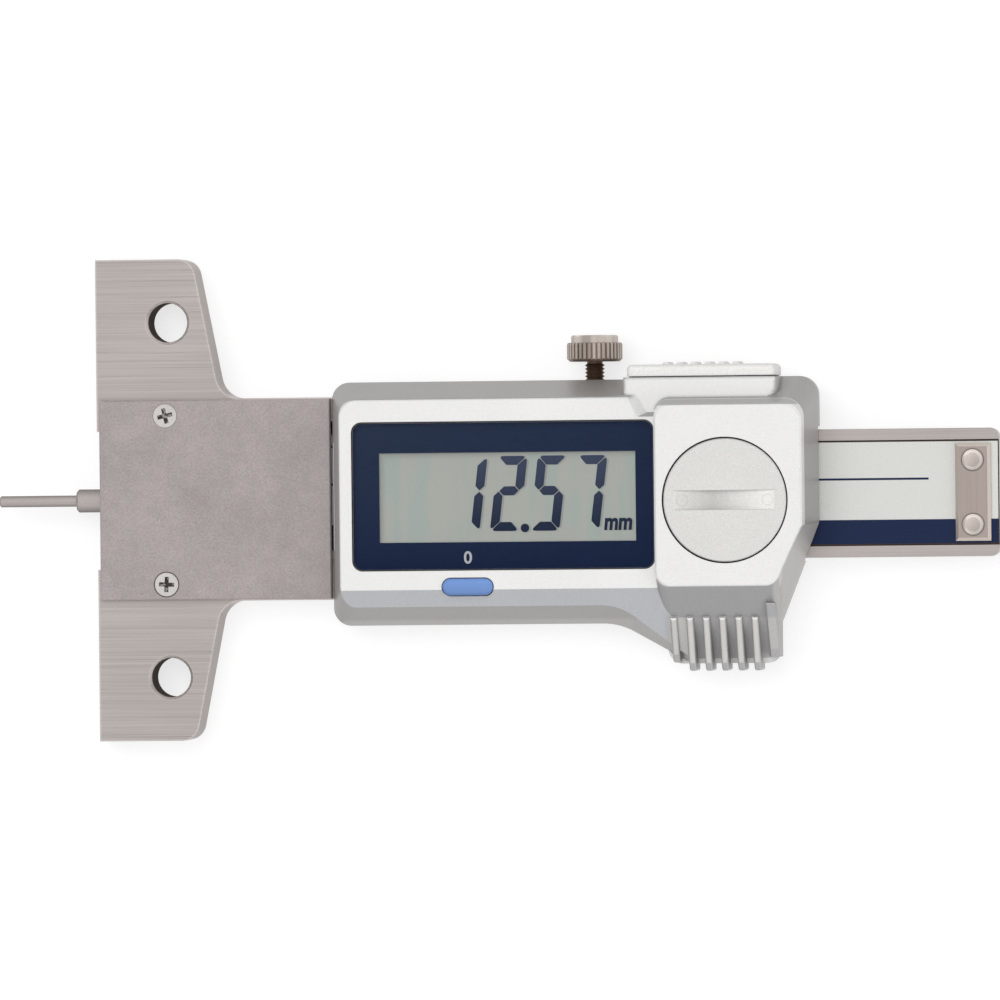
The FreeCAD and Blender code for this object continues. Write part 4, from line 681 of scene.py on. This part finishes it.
def pin_finish():
    """Ground pin with painted shade towards its sides."""
    finish = brushed("pin_ground", PIN_STEEL, along=X, roughness=0.25, contrast=0.04)
    up = finish.absolute(finish.facing(Z))
    # Painted shade towards the pin's sides
    finish.paint(finish.mixed(finish.ranged(up, *PIN_SPAN), PIN_DARK, finish.painted()))
    return finish


def recessed_screw(name, node, axis, upward=True):
    """Screw whose cross recess has painted shade with a few painted glints. Its head is at the upper or lower
    end of an axis.
    """
    finish = satin_steel(name, BRIGHT_STEEL, roughness=0.28, speck=0.2)
    low, high = box(node)[:2]
    place = finish.along(axis)
    if upward:
        recess = finish.below(place, high[axis] - RECESS_START, RECESS_SOFT)
    else:
        recess = finish.above(place, low[axis] + RECESS_START, RECESS_SOFT)
    # Painted shade in the cross recess, with painted glints
    gleams = finish.ranged(finish.grain(GLEAM_SIZE, detail=1), *GLEAM_SPAN, 0.0, GLEAM_SHARE)
    recess_shade = finish.mixed(gleams, SHADE_BROWN, BRIGHT_STEEL)
    finish.paint(finish.mixed(recess, finish.painted(), recess_shade))
    return finish


def clamp_finish():
    """Warm steel head with a brighter rim and painted shade in its flutes, and a darker, browner thread under
    it.
    """
    finish = satin_steel("clamp_steel", SCREW_STEEL, roughness=0.3, edge=0.05, speck=0.2)
    reach, along = finish.radius(box("clamp_screw")[2], around=Y), finish.along(Y)
    colour = finish.mixed(finish.above(along, RIM_START, HEAD_SOFT), finish.painted(), RIM_STEEL)
    streaks = finish.grain(HEAD_STREAKS, detail=1)
    end = finish.above(finish.facing(Y), *END_FLAT)
    colour = finish.mixed(end, finish.shaded(streaks, HEAD_SHARE, colour),
                          finish.shaded(streaks, END_SHARE, colour))
    # Painted shade in the head's flutes
    flute = finish.both(finish.below(reach, FLUTE_FLOOR), finish.below(along, RIM_START, HEAD_SOFT))
    colour = finish.mixed(finish.both(flute, FLUTE_SHARE), colour, THREAD_BROWN)
    thread = finish.below(along, HEAD_START, HEAD_SOFT)
    finish.paint(finish.mixed(thread, colour, THREAD_BROWN))
    return finish


def cover_plate_finish():
    """Blasted grey plate with a few faint round rubbing marks, and painted shade in the gap round its lower
    screw.
    """
    finish = Finish("cover_plate_grey", PLATE_STEEL, STEEL_SHARE, roughness=0.52)
    colour, noises = finish.colour, []
    for size, share in PLATE_GRAINS:
        noises.append(finish.grain(size, detail=3))
        colour = finish.shaded(noises[-1], share, colour)
    patches = finish.ranged(finish.grain(RUB_PATCH), *RUB_SPAN, 0.0, RUB_SHARE)
    for centre, radius, width in RUB_MARKS:
        line = finish.ring(centre, radius, width)
        colour = finish.mixed(finish.both(line, patches), colour, RUB_COLOUR)
    # Painted shade in the gap round the lower screw
    gap = dark_ring(finish, "cover_plate_screw_lower", SCREW_RING)
    finish.paint(finish.mixed(gap, colour, SHADE_BROWN))
    finish.roughen(noises[0], PLATE_SPREAD)
    finish.relief(noises[0], PLATE_DEPTH, edge=0.06)
    return finish


def housing_finish():
    """Silver paint with painted shade on sloped faces, painted highlights on the front edges, and painted
    shade in the gaps round the lens and the cap and along the top of the block's face.
    """
    finish = silver_paint("housing_paint", SILVER_PAINT)
    silver = finish.painted()
    normal = housing_normal(finish)
    slope = housing_slope(finish, silver, *finish.split(normal))
    # Painted shade on sloped faces; level faces and front edges keep full silver
    colour = finish.mixed(housing_level(finish, *finish.split(normal)), slope, silver)
    _, high, centre = box("battery_cap")
    # Painted shade on a band along the top of the block's face
    ledge = finish.inside((centre.x - BLOCK_REACH, BLOCK_TOP - LEDGE_WIDTH, high.z - LEDGE_DEPTH),
                          (centre.x + BLOCK_REACH, BLOCK_TOP + 2 * LEDGE_WIDTH, high.z + LEDGE_RISE))
    colour = finish.lit(colour, ledge, LEDGE_SHADE)
    # Painted shade in the gaps round the battery cap and round the lens
    bore = finish.both(finish.below(finish.radius(centre), high.x - centre.x + GAP_MARGIN),
                       finish.below(finish.along(Z), high.z - BORE_START))
    low, high = box("display_lens")[:2]
    margin = Vector((GAP_MARGIN, GAP_MARGIN, 0))
    window = finish.inside(low - margin - Vector((0, 0, GAP_DEPTH)), high + margin)
    finish.paint(finish.mixed(finish.either(window, bore), colour, SHADE_BROWN))
    bump = finish.linked("Normal").node
    join(finish.tree, bump.inputs["Normal"], normal)
    return finish


def housing_normal(finish):
    """Normal with crisp edges, and with soft ones on the connector boss."""
    low, high, _ = box("port_gasket")
    boss = finish.inside((low.x - BOSS_REACH, low.y - BOSS_DEPTH, high.z - 1),
                         (high.x + BOSS_REACH, high.y, high.z + 2))
    return finish.mixed(boss, finish.rounded(PAINT_ROUND), finish.rounded(BOSS_ROUND, BOSS_SAMPLES))


def housing_slope(finish, silver, aside, across, up):
    """Colour of the sloped faces: painted shade by how they lean and where they are, with painted light in
    the rib valleys and on the slanted far side.
    """
    # Painted shade by how steep the faces are
    slope = finish.mixed(finish.ranged(up, *STEEP_SPAN), finish.tinted(silver, SLOPE_SHADE),
                         finish.tinted(silver, THUMB_SHADE))
    thumb = finish.below(finish.along(Y), -RIB_START, THUMB_SOFT)
    valley = finish.both(thumb, finish.below(finish.absolute(aside), *VALLEY_LEAN))
    # Painted light in the valleys between the thumb ribs
    slope = finish.lit(slope, valley, VALLEY_SHINE)
    slant = finish.both(finish.above(aside, *SLANT_ASIDE), finish.below(across, *SLANT_ACROSS))
    # Painted light on the slanted far side
    slope = finish.lit(slope, slant, SLANT_SHINE)
    ribs = finish.both(thumb, finish.above(finish.along(X), box("battery_cap")[2].x - RIB_REACH, RIB_SOFT))
    # Painted shade on gentle slopes, lighter on the ribs' crests
    gentle = finish.tinted(silver, finish.mixed(ribs, CHIN_SHADE, CREST_SHADE))
    return finish.mixed(finish.ranged(up, *GENTLE_SPAN), slope, gentle)


def housing_level(finish, aside, across, up):
    """Share of full silver without painted shade: level faces, front edges as a painted highlight, and most
    of the scoop, but not the notch at the plate, which keeps the painted shade.
    """
    height = finish.along(Z)
    scoop = finish.both(finish.above(up, SCOOP_UP), finish.above(across, *SCOOP_ACROSS))
    level = finish.either(finish.ranged(up, *LEVEL_SPAN), finish.both(scoop, SCOOP_SHARE))
    face, block = box("display_lens")[1].z + LENS_SUNK, box("battery_cap")[1].z
    # Front edges keep full silver as a painted highlight
    front = finish.both(finish.above(height, face - EDGE_WIDTH), finish.above(across, *EDGE_ACROSS))
    edge = finish.either(front, finish.above(height, block - EDGE_WIDTH))
    plate = box("guide_cover_plate")[1]
    # The notch at the plate keeps the painted shade of the slopes
    notch = finish.both(finish.below(finish.along(X), plate.x + NOTCH_REACH),
                        finish.below(height, plate.z + NOTCH_RISE))
    return finish.both(finish.either(level, edge), finish.less(notch))


def cap_finish():
    """Silver paint with a painted sheen across the coin slot and two faint round marks at its ends."""
    finish = silver_paint("cap_paint", CAP_SILVER, speck=0.13)
    low, high, middle = box("battery_cap")
    across = finish.along(X)
    dip, rise = middle.x - SLOT_DIP, middle.x + SLOT_RISE
    # Painted sheen across the coin slot, darker at the dip and brighter towards its far end
    shine = finish.both(finish.ranged(across, low.x, dip, *DIP_SHADES),
                        finish.ranged(across, dip, rise, *RISE_SHADES))
    sheen = finish.scaled(finish.painted(), shine)
    colour = finish.mixed(finish.above(finish.along(Z), high.z - SLOT_START), sheen, finish.painted())
    for reach in (-MARK_SPOT, MARK_SPOT):
        mark = finish.ring(middle + Vector((reach, 0, 0)), MARK_RADIUS, MARK_WIDTH)
        colour = finish.mixed(finish.both(mark, MARK_SHARE), colour, MARK_GREY)
    finish.paint(colour)
    return finish


def button_finish():
    """Blue plastic with painted light towards its upper edge and painted shade towards its lower edge."""
    finish = plain_plastic("button_blue", BUTTON_BLUE, roughness=0.38, edge=0.2)
    low, high = box("origin_button")[:2]
    # Painted light towards the upper edge and painted shade towards the lower edge
    sheen = finish.ranged(finish.along(Y), low.y, high.y, *BUTTON_SHADES)
    finish.paint(finish.scaled(finish.painted(), sheen))
    return finish


def navy_print():
    """Navy print behind the lens, with a painted reflection that grows towards its upper corner at the
    measuring end.
    """
    finish = Finish("window_print", NAVY)
    finish.matt()
    low, high = box("display_mask")[:2]
    across = finish.ranged(finish.along(X), low.x, high.x, 1.0, GLARE_END)
    upward = finish.ranged(finish.along(Y), low.y, high.y)
    # Painted reflection, strongest at the upper corner at the measuring end
    glare = finish.sums("POWER", finish.both(across, upward), GLARE_POWER)
    fine = finish.grain(PRINT_SPECK, detail=3)
    finish.paint(finish.shaded(fine, PRINT_SHARE, finish.mixed(glare, NAVY, NAVY_GLARE)))
    finish.relief(fine, PRINT_DEPTH)
    return finish


def display_glass():
    """Grey display with faint green columns and the soft shade of its frame."""
    finish = Finish("display_grey", LCD_GREY)
    columns = finish.ranged(finish.grain(COLUMN_SIZE, detail=1), *COLUMN_SPAN)
    fine = finish.grain(GLASS_SPECK)
    colour = finish.shaded(fine, GLASS_SHARE, finish.mixed(columns, LCD_GREY, LCD_GREEN))
    low, high = box("lcd_panel")[:2]
    left, top = low.x + VIEW_INSET, high.y - VIEW_INSET
    near = finish.ranged(finish.along(X), left, left + SHADE_REACH, 1.0, 0.0)
    over = finish.ranged(finish.along(Y), top - SHADE_REACH, top)
    shade = finish.either(finish.sums("POWER", near, SHADE_POWER), finish.sums("POWER", over, SHADE_POWER))
    finish.paint(finish.mixed(finish.both(shade, SHADE_SHARE), colour, LCD_SHADE))
    finish.relief(fine, GLASS_DEPTH)
    return finish


def clear_lens():
    """Thin clear window: what is behind it shows, and its broken edge catches light."""
    finish = Finish("clear_window", LENS_TINT, roughness=0.05)
    cloud = finish.grain(LENS_CLOUD, detail=1)
    finish.paint(finish.shaded(cloud, LENS_SHARE))
    finish.relief(cloud, LENS_DEPTH)
    edge = finish.below(finish.absolute(finish.facing(Z)), *LENS_FLAT)
    front = finish.above(finish.along(Z), box("display_lens")[2].z)
    gloss = finish.both(finish.add("ShaderNodeFresnel", {"IOR": LENS_INDEX}).outputs[0], front)
    share = finish.either(gloss, finish.both(edge, LENS_EDGE_SHARE))
    clear = finish.add("ShaderNodeBsdfTransparent")
    mix = finish.add("ShaderNodeMixShader", {0: share, 1: clear.outputs[0], 2: finish.shader.outputs[0]})
    out = finish.tree.nodes["Material Output"]
    join(finish.tree, out.inputs["Surface"], mix.outputs[0])
    return finish


def beam_label():
    """Silver film with a navy band along its lower side, a thin line and painted shade along its rim."""
    finish = Finish("beam_label", LABEL_SILVER, metallic=0.1, roughness=0.45)
    finish.put("Specular IOR Level", LABEL_GLOSS)
    fine = finish.grain(LABEL_SPECK, detail=3)
    across = finish.along(Y)
    off = finish.absolute(finish.minus(across, LINE_Y))
    line = finish.both(finish.ranged(off, LINE_WIDTH / 2, LINE_WIDTH / 2 + LINE_SOFT, 1.0, 0.0),
                       finish.below(finish.along(X), LINE_END, LINE_SOFT))
    navy = finish.either(finish.below(across, BAND_TOP), line)
    colour = finish.mixed(navy, finish.shaded(fine, LABEL_SHARE), NAVY)
    # Painted shade along the rim next to the beam's rails
    rim = finish.above(finish.absolute(across), box("scale_label")[1].y - LABEL_RIM)
    finish.paint(finish.mixed(rim, colour, SHADE_BROWN))
    finish.roughen(fine, LABEL_SPREAD)
    finish.relief(fine, LABEL_DEPTH)
    return finish


def dress(finish, *names):
    """Give CAD nodes a finish."""
    for name in names:
        mesh = NODES[name].data
        mesh.materials.clear()
        mesh.materials.append(finish.material)


def finishes():
    dress(base_finish(), "depth_base")
    dress(cover_plate_finish(), "guide_cover_plate")
    dress(recessed_screw("plate_screw", "cover_plate_screw_upper", Z),
          "cover_plate_screw_upper", "cover_plate_screw_lower")
    dress(recessed_screw("side_screw", "port_cover_screw_left", Y),
          "port_cover_screw_left", "port_cover_screw_right")
    dress(recessed_screw("back_screw", "housing_screw_upper_left", Z, upward=False),
          "housing_screw_upper_left", "housing_screw_lower_left",
          "housing_screw_upper_right", "housing_screw_lower_right")
    dress(beam_finish(), "beam")
    dress(stop_finish(), "stop_plate")
    dress(rivet_finish(), *RIVETS)
    dress(pin_finish(), "measuring_pin", "pin_set_screw")
    dress(housing_finish(), "front_housing")
    dress(cap_finish(), "battery_cap")
    dress(silver_paint("port_cover_paint", COVER_SILVER, speck=0.13), "port_cover")
    dress(navy_print(), "display_mask")
    dress(clear_lens(), "display_lens")
    dress(display_glass(), "lcd_panel")
    dress(button_finish(), "origin_button")
    dress(beam_label(), "scale_label")
    dress(plain_plastic("scale_board", SCALE_GREEN), "scale_strip")
    dress(plain_plastic("seal_rubber", RUBBER_BLACK, roughness=0.7),
          "cap_o_ring", "port_gasket", "button_pad", "lcd_connector_upper", "lcd_connector_lower")
    dress(plain_plastic("holder_white", HOLDER_WHITE), "lcd_holder")
    dress(plain_plastic("circuit_green", BOARD_GREEN, roughness=0.35), "main_circuit_board", "reading_head")
    dress(plain_plastic("connector_black", CONNECTOR_BLACK),
          "board_connector", "output_connector", "tact_switch")
    dress(brushed("cell_steel", BRIGHT_STEEL, along=X, contrast=0.04), "button_cell")
    dress(satin_steel("contact_brass", BRASS),
          "battery_contact_lower", "battery_contact_side", "clamp_shoe")
    dress(clamp_finish(), "clamp_screw")
    dress(satin_steel("gib_steel", GIB_STEEL),
          "gib_strip", "gib_leaf_spring", "gib_screw_left", "gib_screw_right")


def shading():
    """Smooth shading with crisp edges on every CAD piece."""
    for node in NODES.values():
        for polygon in node.data.polygons:
            polygon.use_smooth = True
        with bpy.context.temp_override(object=node, selected_editable_objects=[node]):
            bpy.ops.object.shade_smooth_by_angle(angle=SMOOTH_ANGLE)


def window_pane():
    """The lens with its back a hair off the print behind it, because faces in one plane flicker."""
    mesh = NODES["display_lens"].data.copy()
    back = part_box("display_lens")[0].z + LENS_LIFT * MM / 2
    for vertex in mesh.vertices:
        if vertex.co.z < back:
            vertex.co.z += LENS_LIFT * MM
    pane = placed("window_pane", mesh)
    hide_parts("display_lens")
    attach(pane, "gauge")


def rounded_corner(corner, before, after, radius):
    """Points of an arc that replaces a corner between two directions."""
    start, end = corner + before * radius, corner + after * radius
    points = []
    for step in range(CORNER_STEPS + 1):
        share = step / CORNER_STEPS
        points.append((1 - share) ** 2 * start + 2 * share * (1 - share) * corner + share ** 2 * end)
    return points


def bar(start, end, out, mitred):
    """Outline of a segment. It ends in a mitre at the nodes named so, and in a tip at others."""
    half = SEGMENT_WIDTH / 2
    run = (end - start).normalized()
    sides = []
    for spot, inward in ((start, run), (end, -run)):
        if spot in mitred:
            near = spot + inward * SEGMENT_GAP
            corner = near + (out - inward) * half
            inner = near + (inward - out) * half
            arc = rounded_corner(corner, (inner - corner).normalized(), inward, half * CORNER_ROUND)
            sides.append([inner, *arc])
        else:
            near = spot + inward * TIP_GAP
            sides.append([near + (inward - out) * half, near, near + (inward + out) * half])
    return sides[0] + sides[1][::-1]


def digit_outlines(digit, corner):
    """Segment outlines of a digit, slanted, with its lower left node at the corner."""
    low, middle, high = 0, DIGIT_HEIGHT * DIGIT_MIDDLE, DIGIT_HEIGHT
    left, right = 0, DIGIT_WIDTH
    runs = {
        "upper_left": ((left, middle), (left, high), (-1, 0)),
        "lower_left": ((left, low), (left, middle), (-1, 0)),
        "upper_right": ((right, middle), (right, high), (1, 0)),
        "lower_right": ((right, low), (right, middle), (1, 0)),
        "top": ((left, high), (right, high), (0, 1)),
        "middle": ((left, middle), (right, middle), (0, 1)),
        "bottom": ((left, low), (right, low), (0, -1)),
    }
    mitred = [Vector((x, y)) for x in (left, right) for y in (low, high)]
    outlines = []
    for segment in SEGMENTS[digit]:
        outline = bar(*(Vector(point) for point in runs[segment]), mitred)
        outlines.append([corner + Vector((point.x + point.y * DIGIT_SLANT, point.y)) for point in outline])
    return outlines


def disc(centre, radius):
    """Outline of a disc."""
    turns = [2 * math.pi * step / POINT_CORNERS for step in range(POINT_CORNERS)]
    return [centre + Vector((math.cos(turn), math.sin(turn))) * radius for turn in turns]


def riding(name, mesh, ink):
    """Hang a printed mesh on the gauge's body."""
    mesh.materials.clear()
    mesh.materials.append(ink.material)
    piece = placed(name, mesh)
    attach(piece, "gauge")


def printed(name, outlines, low, thickness, ink):
    """Flat ink shapes from outlines in the measuring face's frame."""
    mesh = bpy.data.meshes.new(name)
    shape = bmesh.new()
    for outline in outlines:
        ring = [shape.verts.new(((point.x - DATUM_X) * MM, point.y * MM, low * MM)) for point in outline]
        face = shape.faces.new(ring)
        lifted = bmesh.ops.extrude_face_region(shape, geom=[face])["geom"]
        moved = [item for item in lifted if isinstance(item, bmesh.types.BMVert)]
        bmesh.ops.translate(shape, vec=(0, 0, thickness * MM), verts=moved)
    bmesh.ops.recalc_face_normals(shape, faces=shape.faces)
    shape.to_mesh(mesh)
    shape.free()
    riding(name, mesh, ink)


def lettered(name, text, spot, size, low, height, ink, shear=0.0, weight=0.0, squeeze=1.0):
    """Flat letters with their lower left corner at a spot of the measuring face's frame."""
    curve = bpy.data.curves.new(name, "FONT")
    curve.body = text
    curve.size = size * MM
    curve.shear = shear
    curve.offset = weight * MM
    curve.extrude = height * MM / 2
    helper = placed(f"{name}_curve", curve)
    bpy.context.view_layer.update()
    mesh = bpy.data.meshes.new_from_object(helper.evaluated_get(bpy.context.evaluated_depsgraph_get()))
    bpy.data.objects.remove(helper)
    mesh.name = name
    mesh.transform(Matrix.Diagonal((squeeze, 1, 1, 1)))
    mesh.transform(Matrix.Translation(Vector((spot.x - DATUM_X, spot.y, low + height / 2)) * MM))
    riding(name, mesh, ink)


def display_ink():
    """The reading, its point and its unit, printed on the display glass over their faint shadow."""
    ink = plain_plastic("display_ink", DIGIT_NAVY, roughness=0.6, edge=0)
    # Painted reflection: the digits grow lighter towards their top
    upper = ink.ranged(ink.along(Y), FIRST_DIGIT.y, FIRST_DIGIT.y + DIGIT_HEIGHT)
    ink.paint(ink.mixed(upper, ink.painted(), DIGIT_GLARE))
    shade = plain_plastic("display_ink_shadow", DIGIT_SHADOW, roughness=0.6, edge=0)
    ink.matt()
    shade.matt()
    outlines = []
    for number, digit in enumerate(READING):
        outlines += digit_outlines(digit, FIRST_DIGIT + Vector((DIGIT_PITCH * number, 0)))
    outlines.append(disc(POINT_SPOT, POINT_RADIUS))
    shifted = [[point + SHADOW_SHIFT for point in outline] for outline in outlines]
    surface, half = box("lcd_panel")[1].z + INK_HEIGHT, INK_HEIGHT / 2
    printed("display_digits", outlines, surface, INK_HEIGHT, ink)
    printed("display_digit_shadow", shifted, surface - half, half, shade)
    for name, spot, low, colour in (("display_unit", UNIT_SPOT, surface, ink),
                                    ("display_unit_shadow", UNIT_SPOT + SHADOW_SHIFT, surface - half, shade)):
        lettered(name, "mm", spot, UNIT_SIZE, low, half, colour,
                 shear=DIGIT_SLANT, weight=UNIT_WEIGHT, squeeze=UNIT_SQUEEZE)


def button_legend():
    """A plain zero over the button, in grey print."""
    ink = plain_plastic("legend_ink", LEGEND_GREY, roughness=0.5, edge=0)
    surface = box("display_mask")[1].z + INK_HEIGHT
    lettered("button_zero", "0", ZERO_SPOT, ZERO_SIZE, surface, INK_HEIGHT, ink,
             weight=ZERO_WEIGHT)


def world_light():
    """Soft studio light, plain white for the camera and in mirrors."""
    world = bpy.data.worlds.new("studio")
    bpy.context.scene.world = world
    world.use_nodes = True
    tree = world.node_tree
    tree.nodes.clear()
    place = new_node(tree, "ShaderNodeTexCoord").outputs["Generated"]
    height = new_node(tree, "ShaderNodeSeparateXYZ", {0: place}).outputs["Z"]
    low, high = SKY_SPAN
    sky = new_node(tree, "ShaderNodeMapRange", {
        "Value": height, "From Min": low, "From Max": high, "To Min": SKY_SIDE, "To Max": SKY_TOP})
    light = new_node(tree, "ShaderNodeBackground", {"Color": PURE_WHITE, "Strength": sky.outputs[0]})
    white = new_node(tree, "ShaderNodeBackground", {"Color": PURE_WHITE, "Strength": WHITE})
    mix = new_node(tree, "ShaderNodeMixShader", {
        0: seen_directly(tree), 1: light.outputs[0], 2: white.outputs[0]})
    new_node(tree, "ShaderNodeOutputWorld", {"Surface": mix.outputs[0]})


def seen_directly(tree):
    """1 for rays from the camera, in mirrors and through glass."""
    path = new_node(tree, "ShaderNodeLightPath").outputs
    total = path["Is Camera Ray"]
    for ray in ("Is Glossy Ray", "Is Transmission Ray"):
        total = new_node(tree, "ShaderNodeMath", {0: total, 1: path[ray]}, operation="MAXIMUM").outputs[0]
    return total


def studio_floor():
    """Pale floor that glows a little for the camera and keeps the gauge's shadow."""
    half = FLOOR_SIZE / 2
    mesh = bpy.data.meshes.new("floor")
    corners = ((-half, -half), (half, -half), (half, half), (-half, half))
    mesh.from_pydata([(x, y, -FLOOR_DROP) for x, y in corners], [], [(0, 1, 2, 3)])
    finish = Finish("floor_pale", FLOOR_SHADE, roughness=0.9)
    finish.matt()
    finish.put("Emission Color", PURE_WHITE)
    finish.put("Emission Strength", finish.both(seen_directly(finish.tree), FLOOR_GLOW))
    mesh.materials.append(finish.material)
    placed("floor", mesh)


def soft_lamp(name, spot, side, watts):
    """Square lamp that points at the gauge and isn't seen itself."""
    light = bpy.data.lights.new(name, "AREA")
    light.shape = "SQUARE"
    light.size = side
    light.energy = watts
    lamp = placed(name, light)
    lamp.location = spot
    lamp.rotation_mode = "QUATERNION"
    lamp.rotation_quaternion = spot.to_track_quat("Z", "Y")
    lamp.visible_camera = False
    lamp.visible_glossy = False


def camera():
    """The photograph's camera."""
    data = bpy.data.cameras.new("camera")
    data.sensor_width = SENSOR_WIDTH
    data.lens = CAMERA_LENS
    eye = placed("camera", data)
    eye.location = CAMERA_SPOT
    back = (CAMERA_SPOT - CAMERA_TARGET).normalized()
    across = Vector((0, 1, 0)).cross(back).normalized()
    turn = Matrix((across, back.cross(across), back)).transposed()
    eye.rotation_euler = (turn @ Matrix.Rotation(CAMERA_ROLL, 3, "Z")).to_euler()
    bpy.context.scene.camera = eye


finishes()
shading()
window_pane()
display_ink()
button_legend()
world_light()
studio_floor()
soft_lamp("key", KEY_SPOT, KEY_SIZE, KEY_WATTS)
soft_lamp("fill", FILL_SPOT, FILL_SIZE, FILL_WATTS)
camera()
bpy.context.scene.view_settings.view_transform = "Standard"
